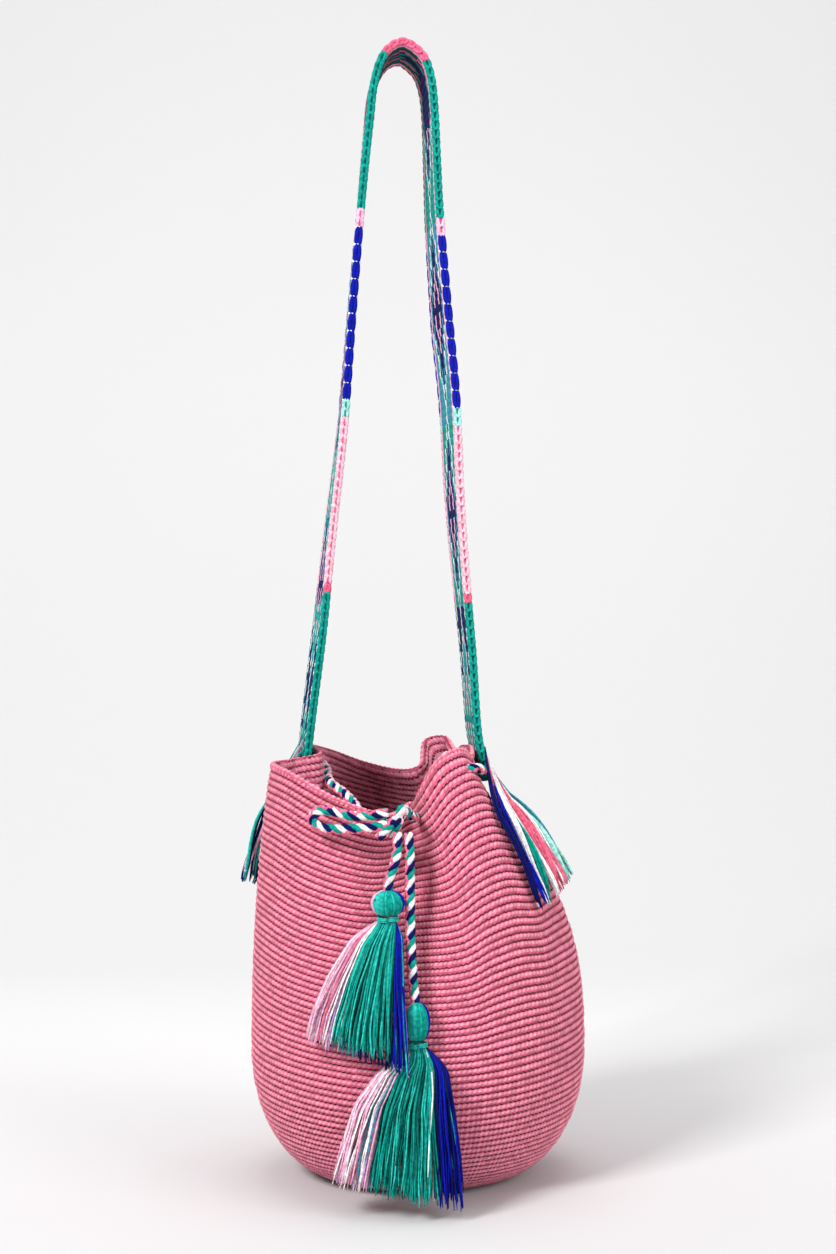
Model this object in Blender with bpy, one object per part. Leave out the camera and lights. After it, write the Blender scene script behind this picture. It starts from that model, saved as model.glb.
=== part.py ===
"""Wayuu mochila: a crocheted bag with a woven shoulder strap and a tasselled drawstring.

Units are metres, +Z is up, and the origin is the centre of the flat base on the ground.
The bag's mouth is gathered by the drawstring, so its wall is lofted from a round belly
to a folded rim. The wall is addressed by two numbers: turn, from 0 to 1 clockwise seen
from above, starting at the front crease, and climb, from 0 at the belly to 1 at the rim.
"""
import math

import bmesh
import bpy
import numpy as np

MM = 0.001
TOUCH_GAP = 0.3 * MM

# Bag wall
BASE_RADIUS = 60 * MM
BELLY_RADIUS = 118 * MM
BELLY_HEIGHT = 88 * MM
WALL = 4.5 * MM
CROWN_RISE = 1.2 * MM
COLUMNS = 84
LOWER_RINGS = 6
UPPER_RINGS = 11

# Rim of the gathered mouth: x, y, z of the outer face, then how far below the rim the
# wall stays upright, all in millimetres, then how late the wall leaves the belly's round
RIM = (
    (-4, -28, 262, 0, 1.5),
    (-20, -62, 256, 0, 1.9),
    (-55, -76, 268, 0, 2.2),
    (-88, -68, 285, 0, 2.2),
    (-102, -45, 290, 0, 2.2),
    (-90, -23, 291, 14, 2.2),
    (-72, -12, 294, 54, 2.2),
    (-75, 16, 297, 44, 2.2),
    (-78, 44, 297, 44, 2.2),
    (-64, 66, 292, 14, 2.2),
    (-40, 72, 284, 0, 2.2),
    (-14, 66, 279, 0, 2.2),
    (0, 56, 282, 0, 2.0),
    (4, 76, 299, 0, 2.2),
    (22, 80, 302, 0, 2.2),
    (30, 60, 292, 8, 2.4),
    (34, 36, 297, 24, 2.7),
    (36.5, 7, 299, 24, 2.7),
    (39, -22, 300, 22, 2.6),
    (38, -42, 296, 9, 2.4),
    (28, -60, 301, 0, 2.2),
    (12, -66, 292, 0, 2.2),
    (0, -58, 272, 0, 1.9),
)

# Strap: route of its front edge cord (x, z) in millimetres, from the left seam to the right
STRAP_WIDTH = 62 * MM
STRAP_THICKNESS = 6 * MM
STRAP_EDGE_INSET = 4 * MM
STRAP_ROUTE = (
    (-78, 266), (-78, 292), (-67, 382), (-61, 443), (-52, 526), (-46.5, 600), (-41, 669),
    (-37.5, 707), (-33.6, 743), (-31, 766), (-26, 783), (-19, 792), (-10, 795), (-2, 791),
    (5, 783), (9.5, 768), (11.7, 745), (12.8, 721), (15, 678), (20.5, 612), (26.6, 546),
    (30, 471), (34.6, 407), (38.2, 364), (41.8, 311), (45.4, 290), (46.6, 277),
)
STRAP_FRONT_Y = (-10 * MM, -20 * MM)
STRAP_TURN = (7, 8, 6.2, 3.8, 2.6, 5, 7, 10, 8.4, 5.4, 4)
STRAP_STEPS = 64
STRAP_CORNER = 1.5 * MM

# Seams and fringes at the strap's ends
SEAM_RISE = 10 * MM
SEAM_HEIGHT = 5 * MM
SEAM_THICKNESS = 1.4 * MM
SEAM_INSET = 3 * MM
SEAM_CORNER = 0.4 * MM
FRINGE_LIFT = 3 * MM
FRINGE_THICKNESS = 5 * MM

# Drawstring: round braid through eyelets under the rim, tied in a bow at the front
CORD_RADIUS = 3.4 * MM
CORD_DROP = 13 * MM
EYELET_CLEARANCE = 0.5 * MM
CORD_OUTSIDE = 4.2 * MM
CORD_START = 0.040
CORD_END = 0.988
EYELETS = (0.062, 0.430, 0.585, 0.845, 0.892, 0.974)
EYELET_SPREAD = 0.012
CROSSING_TURNS = (0.085, 0.400)
CORD_CROSSING = (
    (-36, -62, 250), (-43, -50, 261), (-52, -36, 269), (-60, -20, 273), (-64, 0, 277), (-65, 20, 281),
)
KNOT = np.array((-12, -86, 257)) * MM
KNOT_SIZE = np.array((7, 7, 8.5)) * MM

# Segments round a turned solid
TURNED_SEGMENTS = 20

# Colours
ROSE = (0.72, 0.16, 0.26, 1)
TEAL = (0.01, 0.42, 0.33, 1)
AQUA = (0.10, 0.55, 0.45, 1)
BLUE = (0.01, 0.02, 0.36, 1)
PINK = (0.90, 0.52, 0.66, 1)
MINT = (0.50, 0.80, 0.70, 1)


def clear_scene():
    """Remove whatever the open file holds."""
    for item in list(bpy.data.objects):
        bpy.data.objects.remove(item, do_unlink=True)


def yarn(name, colour, roughness=0.85):
    """Return a matt yarn material."""
    material = bpy.data.materials.new(name)
    material.use_nodes = True
    surface = material.node_tree.nodes["Principled BSDF"]
    surface.inputs["Base Color"].default_value = colour
    surface.inputs["Roughness"].default_value = roughness
    surface.inputs["Metallic"].default_value = 0.0
    return material


def place_mesh(name, mesh_data, material):
    """Turn bmesh data into a named object with its normals facing out."""
    bmesh.ops.recalc_face_normals(mesh_data, faces=mesh_data.faces)
    mesh = bpy.data.meshes.new(name)
    mesh_data.to_mesh(mesh)
    mesh_data.free()
    mesh.materials.append(material)
    item = bpy.data.objects.new(name, mesh)
    bpy.context.scene.collection.objects.link(item)
    return item


# ---------------------------------------------------------------- the bag's wall


def rim_knots():
    """Return each rim point's share of the rim's length."""
    ring = np.array([row[:2] for row in RIM], dtype=float)
    steps = np.linalg.norm(np.roll(ring, -1, axis=0) - ring, axis=1)
    return np.concatenate(([0.0], np.cumsum(steps)[:-1])) / steps.sum()


RIM_KNOTS = rim_knots()


def around_rim(turn):
    """Return rim x, y, z, upright length and lateness at each turn, on a closed smooth curve."""
    values = np.array(RIM, dtype=float)
    turn = np.mod(turn, 1.0)
    count = len(values)
    following = np.roll(RIM_KNOTS, -1)
    following[-1] = 1.0
    spans = following - RIM_KNOTS
    reach = spans + np.roll(spans, 1)
    slopes = (np.roll(values, -1, axis=0) - np.roll(values, 1, axis=0)) / reach[:, None]
    here = np.clip(np.searchsorted(RIM_KNOTS, turn, side="right") - 1, 0, count - 1)
    there = (here + 1) % count
    span = spans[here][..., None]
    part = ((turn - RIM_KNOTS[here]) / spans[here])[..., None]
    near = (1 + 2 * part) * (1 - part) ** 2 * values[here]
    near += part * (1 - part) ** 2 * span * slopes[here]
    far = part ** 2 * (3 - 2 * part) * values[there]
    far += part ** 2 * (part - 1) * span * slopes[there]
    return near + far


def wall_point(turn, climb):
    """Return points on the wall's outer face above the belly."""
    turn, climb = np.broadcast_arrays(np.asarray(turn, float), np.asarray(climb, float))
    rim = around_rim(turn)
    height = rim[..., 2] * MM - BELLY_HEIGHT
    upright = np.maximum(rim[..., 3], 0.0) * MM / height
    gather = np.zeros(turn.shape)
    blur = np.linspace(-0.05, 0.05, 5)
    for shift in blur:
        share = np.clip((climb + shift) / (1 - upright), 0.0, 1.0)
        gather += share ** rim[..., 4] / len(blur)
    over = (climb + blur[-1] - 1) / blur[-1]
    gather = np.where(over > 0, gather + (1 - gather) * over, gather)
    angle = math.tau * turn
    x = -BELLY_RADIUS * np.sin(angle)
    y = -BELLY_RADIUS * np.cos(angle)
    x = x + (rim[..., 0] * MM - x) * gather
    y = y + (rim[..., 1] * MM - y) * gather
    return np.stack((x, y, BELLY_HEIGHT + height * climb), axis=-1)


def lower_point(turn, rise):
    """Return points on the rounded foot, from the base at rise 0 to the belly at rise 1."""
    turn, rise = np.broadcast_arrays(np.asarray(turn, float), np.asarray(rise, float))
    bend = rise * math.pi / 2
    radius = BASE_RADIUS + (BELLY_RADIUS - BASE_RADIUS) * np.sin(bend)
    angle = math.tau * turn
    height = BELLY_HEIGHT * (1 - np.cos(bend))
    return np.stack((-radius * np.sin(angle), -radius * np.cos(angle), height), axis=-1)


def outward(grid):
    """Return the outward normals of a grid of points, rings first, closed round each ring."""
    along = np.roll(grid, -1, axis=1) - np.roll(grid, 1, axis=1)
    up = np.gradient(grid, axis=0)
    normal = np.cross(up, along)
    return normal / np.linalg.norm(normal, axis=-1, keepdims=True)


def wall_normal(turn, climb):
    """Return outward normals of the wall at any turn and climb."""
    step = 0.002
    along = wall_point(turn + step, climb) - wall_point(turn - step, climb)
    up = wall_point(turn, climb) - wall_point(turn, np.asarray(climb) - step)
    normal = np.cross(up, along)
    return normal / np.linalg.norm(normal, axis=-1, keepdims=True)


def ring_of_verts(mesh_data, points):
    """Add one vertex for each point."""
    return [mesh_data.verts.new(tuple(point)) for point in points]


def join_rings(mesh_data, rings):
    """Skin consecutive closed rings of equal length with triangles."""
    for lower, upper in zip(rings, rings[1:]):
        for index in range(len(lower)):
            after = (index + 1) % len(lower)
            mesh_data.faces.new((lower[index], lower[after], upper[after]))
            mesh_data.faces.new((lower[index], upper[after], upper[index]))


def close_ring(mesh_data, ring):
    """Cap a closed ring with a fan to its middle."""
    middle = mesh_data.verts.new(tuple(sum((np.array(v.co) for v in ring)) / len(ring)))
    for index, vertex in enumerate(ring):
        mesh_data.faces.new((vertex, ring[(index + 1) % len(ring)], middle))


def bag_body(material):
    """Crocheted base and wall in one piece, open at the gathered mouth."""
    turn = np.arange(COLUMNS) / COLUMNS
    lower = [lower_point(turn, rise) for rise in np.linspace(0, 1, LOWER_RINGS, endpoint=False)]
    upper = [wall_point(turn, climb) for climb in np.linspace(0, 1, UPPER_RINGS)]
    outer = np.array(lower + upper)
    inner = outer - outward(outer) * WALL
    inner[-1, :, 2] = outer[-1, :, 2]
    crown = (outer[-1] + inner[-1]) / 2
    crown[:, 2] += CROWN_RISE
    mesh_data = bmesh.new()
    rings = [ring_of_verts(mesh_data, ring) for ring in outer]
    rings.append(ring_of_verts(mesh_data, crown))
    rings += [ring_of_verts(mesh_data, ring) for ring in inner[::-1]]
    join_rings(mesh_data, rings)
    close_ring(mesh_data, rings[0])
    close_ring(mesh_data, rings[-1])
    return place_mesh("bag_body", mesh_data, material)


# ---------------------------------------------------------------- strap


def smooth_curve(points, steps):
    """Return evenly spaced points on a smooth open curve through the given ones."""
    points = np.array(points, dtype=float)
    knots = np.concatenate(([0.0], np.cumsum(np.linalg.norm(np.diff(points, axis=0), axis=1))))
    slopes = np.empty_like(points)
    slopes[1:-1] = (points[2:] - points[:-2]) / (knots[2:] - knots[:-2])[:, None]
    slopes[0] = (points[1] - points[0]) / (knots[1] - knots[0])
    slopes[-1] = (points[-1] - points[-2]) / (knots[-1] - knots[-2])
    where = np.linspace(0, knots[-1], steps)
    here = np.clip(np.searchsorted(knots, where, side="right") - 1, 0, len(points) - 2)
    span = (knots[here + 1] - knots[here])[:, None]
    part = (where - knots[here])[:, None] / span
    near = (1 + 2 * part) * (1 - part) ** 2 * points[here]
    near += part * (1 - part) ** 2 * span * slopes[here]
    far = part ** 2 * (3 - 2 * part) * points[here + 1]
    far += part ** 2 * (part - 1) * span * slopes[here + 1]
    return near + far


def strap_frames():
    """Return the strap's middle line, width direction and outward direction at each step."""
    edge = smooth_curve(np.array(STRAP_ROUTE) * MM, STRAP_STEPS)
    share = np.linspace(0, 1, STRAP_STEPS)
    front_y = STRAP_FRONT_Y[0] + (STRAP_FRONT_Y[1] - STRAP_FRONT_Y[0]) * share
    angle = np.radians(np.interp(share, np.linspace(0, 1, len(STRAP_TURN)), STRAP_TURN))
    across = np.stack((-np.sin(angle), np.cos(angle), 0 * angle), axis=1)
    middle = np.stack((edge[:, 0], front_y, edge[:, 1]), axis=1)
    middle = middle + across * (STRAP_WIDTH / 2 - STRAP_EDGE_INSET)
    along = np.gradient(middle, axis=0)
    along /= np.linalg.norm(along, axis=1, keepdims=True)
    outside = np.cross(along, across)
    outside /= np.linalg.norm(outside, axis=1, keepdims=True)
    return middle, np.cross(outside, along), outside


def sweep(name, frames, section, material):
    """Sweep a section of (across, outside) points along frames and close both ends."""
    mesh_data = bmesh.new()
    rings = []
    for middle, across, outside in zip(*frames):
        points = [middle + across * wide + outside * high for wide, high in section]
        rings.append(ring_of_verts(mesh_data, points))
    join_rings(mesh_data, rings)
    close_ring(mesh_data, rings[0])
    close_ring(mesh_data, rings[-1])
    return place_mesh(name, mesh_data, material)


def band_section(half_width, low, high, corner):
    """Return the eight corners of a flat bar with trimmed corners."""
    return (
        (-half_width, low + corner), (-half_width + corner, low), (half_width - corner, low),
        (half_width, low + corner), (half_width, high - corner), (half_width - corner, high),
        (-half_width + corner, high), (-half_width, high - corner),
    )


def strap(material):
    """Woven shoulder strap, sewn to the wall at both ends."""
    half = STRAP_THICKNESS / 2
    section = band_section(STRAP_WIDTH / 2, -half, half, STRAP_CORNER)
    return sweep("strap", strap_frames(), section, material)


def strap_seam(name, at_end, material):
    """Row of stitches that holds one end of the strap to the wall."""
    frames = strap_frames()
    line = frames[0]
    length = np.concatenate(([0.0], np.cumsum(np.linalg.norm(np.diff(line, axis=0), axis=1))))
    stations = np.linspace(SEAM_RISE, SEAM_RISE + SEAM_HEIGHT, 3)
    if at_end:
        stations = length[-1] - stations[::-1]
    picked = []
    for values in frames:
        picked.append(np.stack([np.interp(stations, length, values[:, axis]) for axis in range(3)], 1))
    low = STRAP_THICKNESS / 2 + TOUCH_GAP
    section = band_section(STRAP_WIDTH / 2 - SEAM_INSET, low, low + SEAM_THICKNESS, SEAM_CORNER)
    return sweep(name, picked, section, material)


def fringe(name, top_turns, low_turns, top_z, low_z, flare, material):
    """Loose yarn ends below a strap seam, lying over the wall."""
    rows, columns = 9, 9
    outer, inner = [], []
    for row in range(rows):
        share = row / (rows - 1)
        first = top_turns[0] + (low_turns[0] - top_turns[0]) * share
        last = top_turns[1] + (low_turns[1] - top_turns[1]) * share
        turn = np.linspace(first, last, columns)
        height = around_rim(turn)[:, 2] * MM - BELLY_HEIGHT
        climb = (top_z + (low_z - top_z) * share - BELLY_HEIGHT) / height
        points = wall_point(turn, climb)
        normal = wall_normal(turn, climb)
        lift = FRINGE_LIFT + flare * share
        inner.append(points + normal * lift)
        outer.append(points + normal * (lift + FRINGE_THICKNESS))
    mesh_data = bmesh.new()
    rings = []
    for back, front in zip(inner, outer):
        rings.append(ring_of_verts(mesh_data, list(front) + list(back[::-1])))
    join_rings(mesh_data, rings)
    close_ring(mesh_data, rings[0])
    close_ring(mesh_data, rings[-1])
    return place_mesh(name, mesh_data, material)


# ---------------------------------------------------------------- drawstring


def cord_object(name, points, radius, material, resolution=3):
    """Return a round cord along a list of points."""
    curve = bpy.data.curves.new(name, "CURVE")
    curve.dimensions = "3D"
    curve.bevel_depth = radius
    curve.bevel_resolution = resolution
    curve.use_fill_caps = True
    curve.resolution_u = 1
    curve.render_resolution_u = 1
    spline = curve.splines.new("POLY")
    spline.points.add(len(points) - 1)
    for slot, point in zip(spline.points, points):
        slot.co = (*point, 1.0)
    curve.materials.append(material)
    item = bpy.data.objects.new(name, curve)
    bpy.context.scene.collection.objects.link(item)
    return item


def drawstring_route():
    """Return the drawstring's route through the eyelets, from the knot and back to it."""
    inside = -(WALL + CORD_OUTSIDE)
    turns, sides = [CORD_START], [CORD_OUTSIDE]
    outside_now = True
    for eyelet in EYELETS:
        before, after = (CORD_OUTSIDE, inside) if outside_now else (inside, CORD_OUTSIDE)
        turns += [eyelet - EYELET_SPREAD, eyelet + EYELET_SPREAD]
        sides += [before, after]
        outside_now = not outside_now
    turns.append(CORD_END)
    sides.append(CORD_OUTSIDE)
    turn = np.linspace(CORD_START, CORD_END, 160)
    offset = np.interp(turn, turns, sides)
    climb = 1 - CORD_DROP / (around_rim(turn)[:, 2] * MM - BELLY_HEIGHT)
    points = wall_point(turn, climb) + wall_normal(turn, climb) * offset[:, None]
    crossing = smooth_curve(np.array(CORD_CROSSING) * MM, 40)
    points = np.concatenate((points[turn < CROSSING_TURNS[0]], crossing, points[turn > CROSSING_TURNS[1]]))
    left = [KNOT + np.array((-9.5, 5, -2)) * MM, KNOT + np.array((-12, 9, -6)) * MM]
    right = [KNOT + np.array((10, 16, -3)) * MM, KNOT + np.array((6.5, 8, 0)) * MM]
    points = np.concatenate((left, points[1:-1], right))
    for _ in range(3):
        points[1:-1] = (points[:-2] + 2 * points[1:-1] + points[2:]) / 4
    return smooth_curve(points, 84)


def bow_route():
    """Return the route of the bow's loop, out to the left and back."""
    return smooth_curve(np.array((
        (-20, -90, 260), (-32, -92, 258), (-45, -93, 258), (-58, -91, 261), (-66, -89, 261),
        (-71, -88, 256), (-67, -89, 251), (-56, -91, 249), (-44, -93, 249.5), (-32, -93, 250),
        (-20, -91, 252.5),
    )) * MM, 24)


def upper_tail_route():
    """Return the short tail that carries the upper tassel."""
    return smooth_curve(np.array((
        (-13.5, -92, 244.8), (-13.6, -96.5, 237), (-15.5, -101, 227), (-19, -103, 217),
        (-19.8, -103.5, 210.5),
    )) * MM, 8)


def lower_tail_route():
    """Return the long tail that carries the lower tassel."""
    return smooth_curve(np.array((
        (-6.4, -90.5, 244.8), (-5.5, -94, 237), (-5.2, -97, 215), (-5, -101, 190), (-4.2, -108, 168),
        (-3, -116, 150), (-1.2, -121, 139.5),
    )) * MM, 14)


def turned(name, at, profile, material, segments=TURNED_SEGMENTS):
    """Return a solid turned about a vertical axis from (radius, height) points, top to bottom."""
    mesh_data = bmesh.new()
    rings = []
    for radius, height in profile:
        ring = []
        for index in range(segments):
            angle = math.tau * index / segments
            ring.append((at[0] + radius * math.cos(angle), at[1] + radius * math.sin(angle), at[2] + height))
        rings.append(ring_of_verts(mesh_data, ring))
    join_rings(mesh_data, rings)
    close_ring(mesh_data, rings[0])
    close_ring(mesh_data, rings[-1])
    return place_mesh(name, mesh_data, material)


def knot(material):
    """Knot of the drawstring's bow."""
    profile = []
    for index in range(1, 8):
        angle = math.pi * index / 8
        profile.append((KNOT_SIZE[0] * math.sin(angle), KNOT_SIZE[2] * math.cos(angle)))
    return turned("drawstring_knot", KNOT, profile, material, segments=16)


# ---------------------------------------------------------------- tassels


def tassel_head(name, top, radius, height, neck, material):
    """Ball of yarn that a tassel hangs from, with the neck below it."""
    profile = []
    for index in range(1, 7):
        angle = math.pi * index / 7.6
        profile.append((radius * math.sin(angle), height / 2 * (math.cos(angle) - 1)))
    profile.append((neck, -height * 0.97))
    profile.append((neck, -height - 4.4 * MM))
    return turned(name, top, profile, material)


def tassel_binding(name, top, neck, height, material):
    """Yarn wound round a tassel's neck."""
    hole = neck + TOUCH_GAP
    outer = hole + 1.8 * MM
    start = -height - 0.4 * MM
    profile = [(outer - 0.6 * MM, start), (outer, start - 1 * MM), (outer, start - 3 * MM),
               (outer - 0.6 * MM, start - 4 * MM), (hole, start - 4 * MM), (hole, start)]
    mesh_data = bmesh.new()
    rings = []
    for radius, level in profile:
        ring = [(top[0] + radius * math.cos(math.tau * index / TURNED_SEGMENTS),
                 top[1] + radius * math.sin(math.tau * index / TURNED_SEGMENTS), top[2] + level)
                for index in range(TURNED_SEGMENTS)]
        rings.append(ring_of_verts(mesh_data, ring))
    join_rings(mesh_data, rings + [rings[0]])
    return place_mesh(name, mesh_data, material)


def skirt_sector(name, levels, start, stop, material):
    """One colour of a tassel's skirt: a fan between two shares of its width.

    Each level gives left x, right x, left z, right z, distance from the bag's axis on the
    left and on the right, and half the depth, in millimetres.
    """
    slices = 5
    share = np.linspace(start, stop, slices)
    mesh_data = bmesh.new()
    rings = []
    for left_x, right_x, left_z, right_z, left_reach, right_reach, depth in levels:
        x = left_x + (right_x - left_x) * share
        z = left_z + (right_z - left_z) * share
        reach = left_reach + (right_reach - left_reach) * share
        front = [(a, -math.sqrt((r + depth) ** 2 - a * a), b) for a, b, r in zip(x, z, reach)]
        back = [(a, -math.sqrt((r - depth) ** 2 - a * a), b) for a, b, r in zip(x, z, reach)]
        rings.append(ring_of_verts(mesh_data, np.array(front + back[::-1]) * MM))
    join_rings(mesh_data, rings)
    close_ring(mesh_data, rings[0])
    close_ring(mesh_data, rings[-1])
    return place_mesh(name, mesh_data, material)


UPPER_SKIRT = (
    (-32, -10.5, 187.5, 187.5, 106, 106, 6),
    (-45, -10, 176, 174, 113, 112, 8),
    (-59, -9, 154, 145, 122.5, 127, 8),
    (-69.5, -7.5, 131, 118, 126.5, 137.5, 8),
    (-75, -6, 110, 93, 129, 144, 8),
)
LOWER_SKIRT = (
    (-5, 12.5, 106, 106, 125, 125, 5.5),
    (-25, 20, 94, 93, 126, 126.5, 5),
    (-41, 24, 72, 68, 130, 130, 8),
    (-50, 28, 45, 37, 132, 132, 10),
    (-57, 30.5, 19, 5, 134, 134, 11),
)
SECTOR_GAP = 0.006
UPPER_TOP = np.array((-20, -104, 209.4)) * MM
LOWER_TOP = np.array((-0.5, -122, 138.4)) * MM


def tassel(prefix, top, radius, height, neck, levels, splits, materials):
    """Build one tassel: head, binding and a skirt in three colours."""
    tassel_head(prefix + "_head", top, radius, height, neck, materials["aqua"])
    tassel_binding(prefix + "_binding", top, neck, height, materials["teal"])
    for colour, (start, stop) in splits.items():
        skirt_sector(f"{prefix}_skirt_{colour}", levels, start + SECTOR_GAP, stop - SECTOR_GAP,
                     materials[colour])


# ---------------------------------------------------------------- assembly


def cut_eyelets(body, route):
    """Cut the wall where the drawstring passes, with a little room round it."""
    cutter = cord_object("eyelet_cutter", route, CORD_RADIUS + EYELET_CLEARANCE, None, 2)
    depsgraph = bpy.context.evaluated_depsgraph_get()
    mesh = bpy.data.meshes.new_from_object(cutter.evaluated_get(depsgraph))
    bpy.data.objects.remove(cutter, do_unlink=True)
    solid = bpy.data.objects.new("eyelet_cutter", mesh)
    bpy.context.scene.collection.objects.link(solid)
    solid.hide_render = True
    solid.display_type = "WIRE"
    cut = body.modifiers.new("eyelets", "BOOLEAN")
    cut.operation = "DIFFERENCE"
    cut.solver = "EXACT"
    cut.object = solid


def main():
    """Build every piece of the bag."""
    clear_scene()
    materials = {
        "rose": yarn("rose_cotton", ROSE),
        "teal": yarn("teal_yarn", TEAL, 0.6),
        "aqua": yarn("aqua_yarn", AQUA, 0.6),
        "blue": yarn("blue_yarn", BLUE, 0.6),
        "pink": yarn("pink_yarn", PINK, 0.6),
        "mint": yarn("mint_yarn", MINT, 0.7),
    }
    body = bag_body(materials["rose"])
    route = drawstring_route()
    cut_eyelets(body, route)
    cord_object("drawstring", route, CORD_RADIUS, materials["mint"], 2)
    knot(materials["mint"])
    cord_object("drawstring_bow", bow_route(), CORD_RADIUS, materials["mint"])
    cord_object("drawstring_tail_upper", upper_tail_route(), CORD_RADIUS, materials["mint"])
    cord_object("drawstring_tail_lower", lower_tail_route(), CORD_RADIUS, materials["mint"])
    strap(materials["blue"])
    strap_seam("strap_seam_left", False, materials["rose"])
    strap_seam("strap_seam_right", True, materials["rose"])
    fringe("fringe_left", (0.258, 0.308), (0.238, 0.325), 263 * MM, 192 * MM, 4 * MM, materials["teal"])
    fringe("fringe_right", (0.775, 0.885), (0.758, 0.866), 272 * MM, 190 * MM, 2 * MM, materials["teal"])
    upper = {"pink": (0.0, 0.24), "teal": (0.24, 0.86), "blue": (0.86, 1.0)}
    lower = {"pink": (0.0, 0.26), "teal": (0.26, 0.80), "blue": (0.80, 1.0)}
    tassel("tassel_upper", UPPER_TOP, 10 * MM, 16.5 * MM, 5.5 * MM, UPPER_SKIRT, upper, materials)
    tassel("tassel_lower", LOWER_TOP, 7.6 * MM, 26 * MM, 5 * MM, LOWER_SKIRT, lower, materials)


main()
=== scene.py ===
"""Looks of a Wayuu mochila: crochet, woven strap, braided drawstring, tassels and fringes.

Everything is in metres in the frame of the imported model, +Z up and the knot towards -Y.
SLANT is how many stitches a crocheted stitch leans over in one row, and SCATTER multiplies row
and stitch numbers in a sine that varies from stitch to stitch without a pattern.
"""
import logging
import math
from dataclasses import dataclass, field
from enum import Enum
from typing import Sequence

import bpy
import numpy as np
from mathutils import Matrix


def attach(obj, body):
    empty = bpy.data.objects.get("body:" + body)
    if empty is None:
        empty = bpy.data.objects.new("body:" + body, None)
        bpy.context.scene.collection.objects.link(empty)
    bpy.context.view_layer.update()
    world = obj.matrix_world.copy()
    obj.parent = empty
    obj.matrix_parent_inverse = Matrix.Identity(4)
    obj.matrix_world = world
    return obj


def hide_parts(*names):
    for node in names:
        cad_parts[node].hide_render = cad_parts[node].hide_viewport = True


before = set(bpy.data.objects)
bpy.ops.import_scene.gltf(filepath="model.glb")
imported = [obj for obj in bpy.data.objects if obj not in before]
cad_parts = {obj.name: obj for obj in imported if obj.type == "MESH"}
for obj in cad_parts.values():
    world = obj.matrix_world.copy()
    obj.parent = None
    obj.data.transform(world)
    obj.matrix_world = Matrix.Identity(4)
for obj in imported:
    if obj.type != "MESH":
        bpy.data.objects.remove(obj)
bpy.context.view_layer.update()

LOG = logging.getLogger("mochila")
MM = 0.001
BAG, LOWER_TAIL, UPPER_TAIL = "bag", "lower_tassel_tail", "upper_tassel_tail"
BAKE_MAP, STITCH_MAP = "OFBake", "Stitches"
BAKE_EDGE, BAKE_SPAN = 0.002, 0.996
SLANT = 0.6
SCATTER = (12.9898, 78.233)
Array = np.ndarray
Place = tuple[float, float, float]
Colour = tuple[float, float, float, float]
Item, Material = bpy.types.Object, bpy.types.Material
Finishes = Sequence[Material]


# ------------------------------------------------------------------ shading


class Signal:
    """A shader value that takes part in sums as a number does."""

    def __init__(self, tree: bpy.types.NodeTree, socket: bpy.types.NodeSocket) -> None:
        """Keep the socket and the node tree that it belongs to."""
        self.tree = tree
        self.socket = socket

    def maths(self, operation: str, *values: "Signal | float") -> "Signal":
        """Add one Math node.

        Args:
            operation: The node's operation.
            values: What feeds its inputs, in order.

        Returns:
            The node's result.
        """
        node = self.tree.nodes.new("ShaderNodeMath")
        node.operation = operation
        for slot, value in zip(node.inputs, values):
            if isinstance(value, Signal):
                self.tree.links.new(value.socket, slot)
            else:
                slot.default_value = value
        return Signal(self.tree, node.outputs[0])

    def __add__(self, other: "Signal | float") -> "Signal":
        """Return self + other."""
        return self.maths("ADD", self, other)

    def __radd__(self, other: float) -> "Signal":
        """Return other + self."""
        return self.maths("ADD", other, self)

    def __sub__(self, other: "Signal | float") -> "Signal":
        """Return self - other."""
        return self.maths("SUBTRACT", self, other)

    def __rsub__(self, other: float) -> "Signal":
        """Return other - self."""
        return self.maths("SUBTRACT", other, self)

    def __mul__(self, other: "Signal | float") -> "Signal":
        """Return self * other."""
        return self.maths("MULTIPLY", self, other)

    def __rmul__(self, other: float) -> "Signal":
        """Return other * self."""
        return self.maths("MULTIPLY", other, self)

    def fraction(self) -> "Signal":
        """Return the part after the point."""
        return self.maths("FRACT", self)

    def whole(self) -> "Signal":
        """Return the part before the point."""
        return self.maths("FLOOR", self)

    def size(self) -> "Signal":
        """Return the distance from zero."""
        return self.maths("ABSOLUTE", self)

    def wave(self) -> "Signal":
        """Return a swing from 0 to 1 and back as the value goes from one whole to the next."""
        return 0.5 - self.maths("COSINE", self * math.tau) * 0.5

    def step(self, low: float, high: float) -> "Signal":
        """Return a soft step from 0 at low to 1 at high."""
        node = self.tree.nodes.new("ShaderNodeMapRange")
        node.interpolation_type = "SMOOTHSTEP"
        self.tree.links.new(self.socket, node.inputs["Value"])
        node.inputs["From Min"].default_value = low
        node.inputs["From Max"].default_value = high
        return Signal(self.tree, node.outputs["Result"])


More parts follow.
